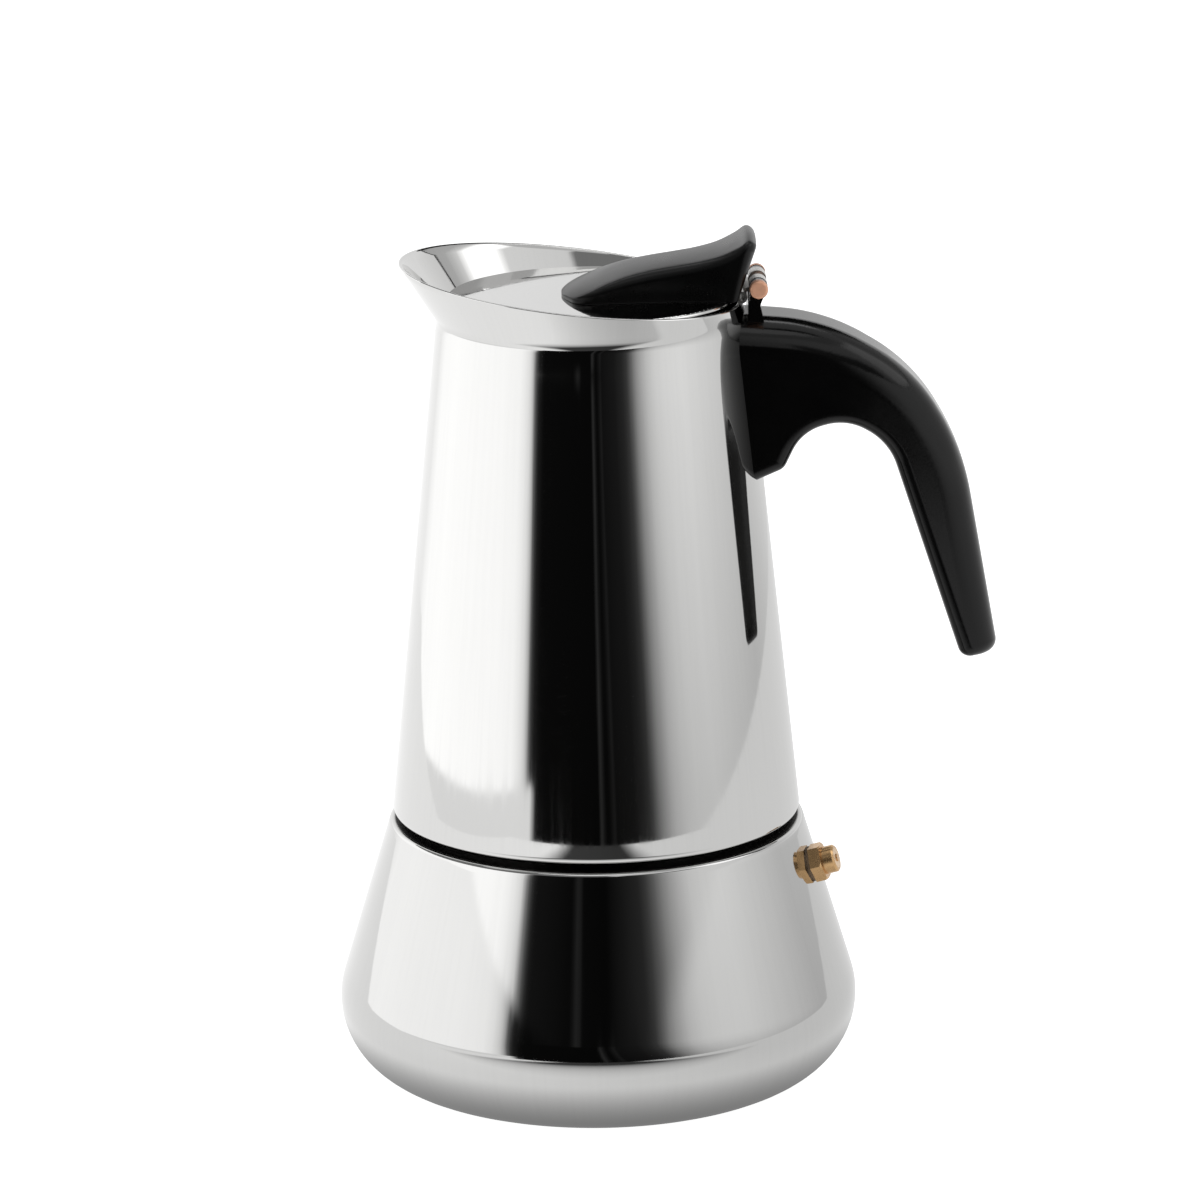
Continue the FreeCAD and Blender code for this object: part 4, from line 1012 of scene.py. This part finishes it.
def knob_ring(station):
    """One section of the knob: flat below, upright sides, rounded edges and a slight arch."""
    low_reach, high_reach, crown, half, edge, arch, *raised = station
    low = raised[0] if raised else KNOB_SEAT
    middle = crown - arch
    corner = arch - edge
    lean = math.degrees(math.asin((half - edge) / corner))
    across, up = corner * math.sin(math.radians(lean)), middle + corner * math.cos(math.radians(lean))
    heel = min(0.3, (up - low) * 0.3)
    side = arc(half - heel, low + heel, heel, -90, 0, 4) + arc(across, up, edge, 0, 90 - lean, 8)
    side += arc(0.0, middle, arch, 90 - lean, 90, 6)[1:-1]
    outline = side + [(0.0, crown)] + [(-reach, height) for reach, height in reversed(side)]
    ring = []
    for reach, height in outline:
        share = (height - low) / (crown - low)
        ring.append(Vector((low_reach + (high_reach - low_reach) * share, reach, height)) / 1000)
    return ring


def smooth_rings(rings, parts):
    """Rings with more between them, on a curve through the ones that are given."""
    result = []
    last = len(rings) - 1
    for number in range(last):
        before, after = rings[max(number - 1, 0)], rings[min(number + 2, last)]
        for part in range(parts):
            t = part / parts
            ring = []
            for a, b, c, d in zip(before, rings[number], rings[number + 1], after):
                ring.append(b * (2 * t ** 3 - 3 * t ** 2 + 1) + c * (3 * t ** 2 - 2 * t ** 3)
                            + (c - a) / 2 * (t ** 3 - 2 * t ** 2 + t) + (d - b) / 2 * (t ** 3 - t ** 2))
            result.append(ring)
    return result + [rings[-1]]


class POT_OT_knob(bpy.types.Operator):
    """Make the lid's moulded lever knob"""
    bl_idname = "pot.knob"
    bl_label = "Knob"

    def execute(self, context):
        finish = context.scene.pot_finish
        rings = smooth_rings([knob_ring(station) for station in KNOB_STATIONS], 4)
        plastic = moulded_plastic("knob_plastic", finish.knob_roughness, finish.knob_gloss)
        place_piece(skin("lever_knob", rings, False), "lid", "black_plastic", plastic, "lid_knob")
        return {"FINISHED"}


class POT_OT_spring(bpy.types.Operator):
    """Wind the safety valve's spring"""
    bl_idname = "pot.spring"
    bl_label = "Valve spring"

    def execute(self, context):
        shell = context.scene.pot_shell
        lift = next(joint for joint in frame["joints"] if joint["name"] == "valve_lift")
        axis = Vector(lift["axis"]).normalized()
        reach = [point.co.dot(axis) for point in frame["nodes"]["valve_spring"].data.vertices]
        foot = node_middle("valve_cap")
        foot += axis * (min(reach) - foot.dot(axis))
        length = max(reach) - min(reach)
        turn = axis.to_track_quat("Z", "Y")
        rings = [[turn @ point + foot for point in ring] for ring in coil_rings(shell, length)]
        place_piece(skin("wound_spring", rings, False), "boiler", "plain_steel",
                    bpy.data.materials["satin_steel"], "valve_spring")
        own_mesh(bpy.data.objects["wound_spring"])
        return {"FINISHED"}


class POT_OT_finishes(bpy.types.Operator):
    """Give the construction's own pieces their finish"""
    bl_idname = "pot.finishes"
    bl_label = "Finishes"

    def execute(self, context):
        finish = context.scene.pot_finish
        shell = context.scene.pot_shell
        finish_nodes(mirror_steel("lid_steel", "turning_marks", relief=0.0000015), "lid_disc")
        finish_nodes(satin_steel(), "boiler_neck", "funnel_basket", "funnel_stem", "funnel_plate",
                     "filter_plate", "collector_base", "chimney", "chimney_cap", "handle_bracket",
                     "handle_screw", "knob_screws", "lid_hinge")
        plastic = moulded_plastic("handle_plastic", finish.handle_roughness, finish.handle_gloss)
        finish_nodes(plastic, "handle")
        middle, axis = node_middle("valve_cap"), valve_direction(shell, 1, shell.cone_slope)
        brass = turned_brass("valve_brass", finish.brass_colour, middle, axis, 0.85, 0.24)
        finish_nodes(brass, "valve_body", "valve_nut", "valve_pin")
        finish_nodes(turned_brass("cap_brass", finish.cap_colour, middle, axis, 0.5, 0.34), "valve_cap")
        middle, axis = node_middle("hinge_pin"), (0, 1, 0)
        copper = turned_brass("pin_brass", finish.copper_colour, middle, axis, 0.45, 0.45)
        finish_nodes(copper, "hinge_pin", "hinge_nut")
        finish_nodes(soft_seal("seal_rubber", finish.rubber_colour), "gasket")
        finish_nodes(soft_seal("fibre_washer", finish.fibre_colour), "valve_washer")
        return {"FINISHED"}


class POT_PT_panel(bpy.types.Panel):
    """Buttons for each part of the pot's looks"""
    bl_label = "Espresso pot"
    bl_idname = "POT_PT_panel"
    bl_space_type = "VIEW_3D"
    bl_region_type = "UI"
    bl_category = "Pot"

    def draw(self, context):
        for operator in OPERATORS:
            self.layout.operator(operator.bl_idname)


OPERATORS = (POT_OT_stage, POT_OT_finishes, POT_OT_boiler, POT_OT_collector, POT_OT_knob, POT_OT_spring)
PROPERTIES = (StageProperties, FinishProperties, ShellProperties)
CLASSES = PROPERTIES + OPERATORS + (POT_PT_panel,)


def register():
    for item in CLASSES:
        bpy.utils.register_class(item)
    bpy.types.Scene.pot_stage = PointerProperty(type=StageProperties)
    bpy.types.Scene.pot_finish = PointerProperty(type=FinishProperties)
    bpy.types.Scene.pot_shell = PointerProperty(type=ShellProperties)


def unregister():
    del bpy.types.Scene.pot_stage
    del bpy.types.Scene.pot_finish
    del bpy.types.Scene.pot_shell
    for item in reversed(CLASSES):
        bpy.utils.unregister_class(item)


def main():
    register()
    bpy.ops.pot.stage()
    bpy.ops.pot.finishes()
    bpy.ops.pot.boiler()
    bpy.ops.pot.collector()
    bpy.ops.pot.knob()
    bpy.ops.pot.spring()


if __name__ == "__main__":
    main()
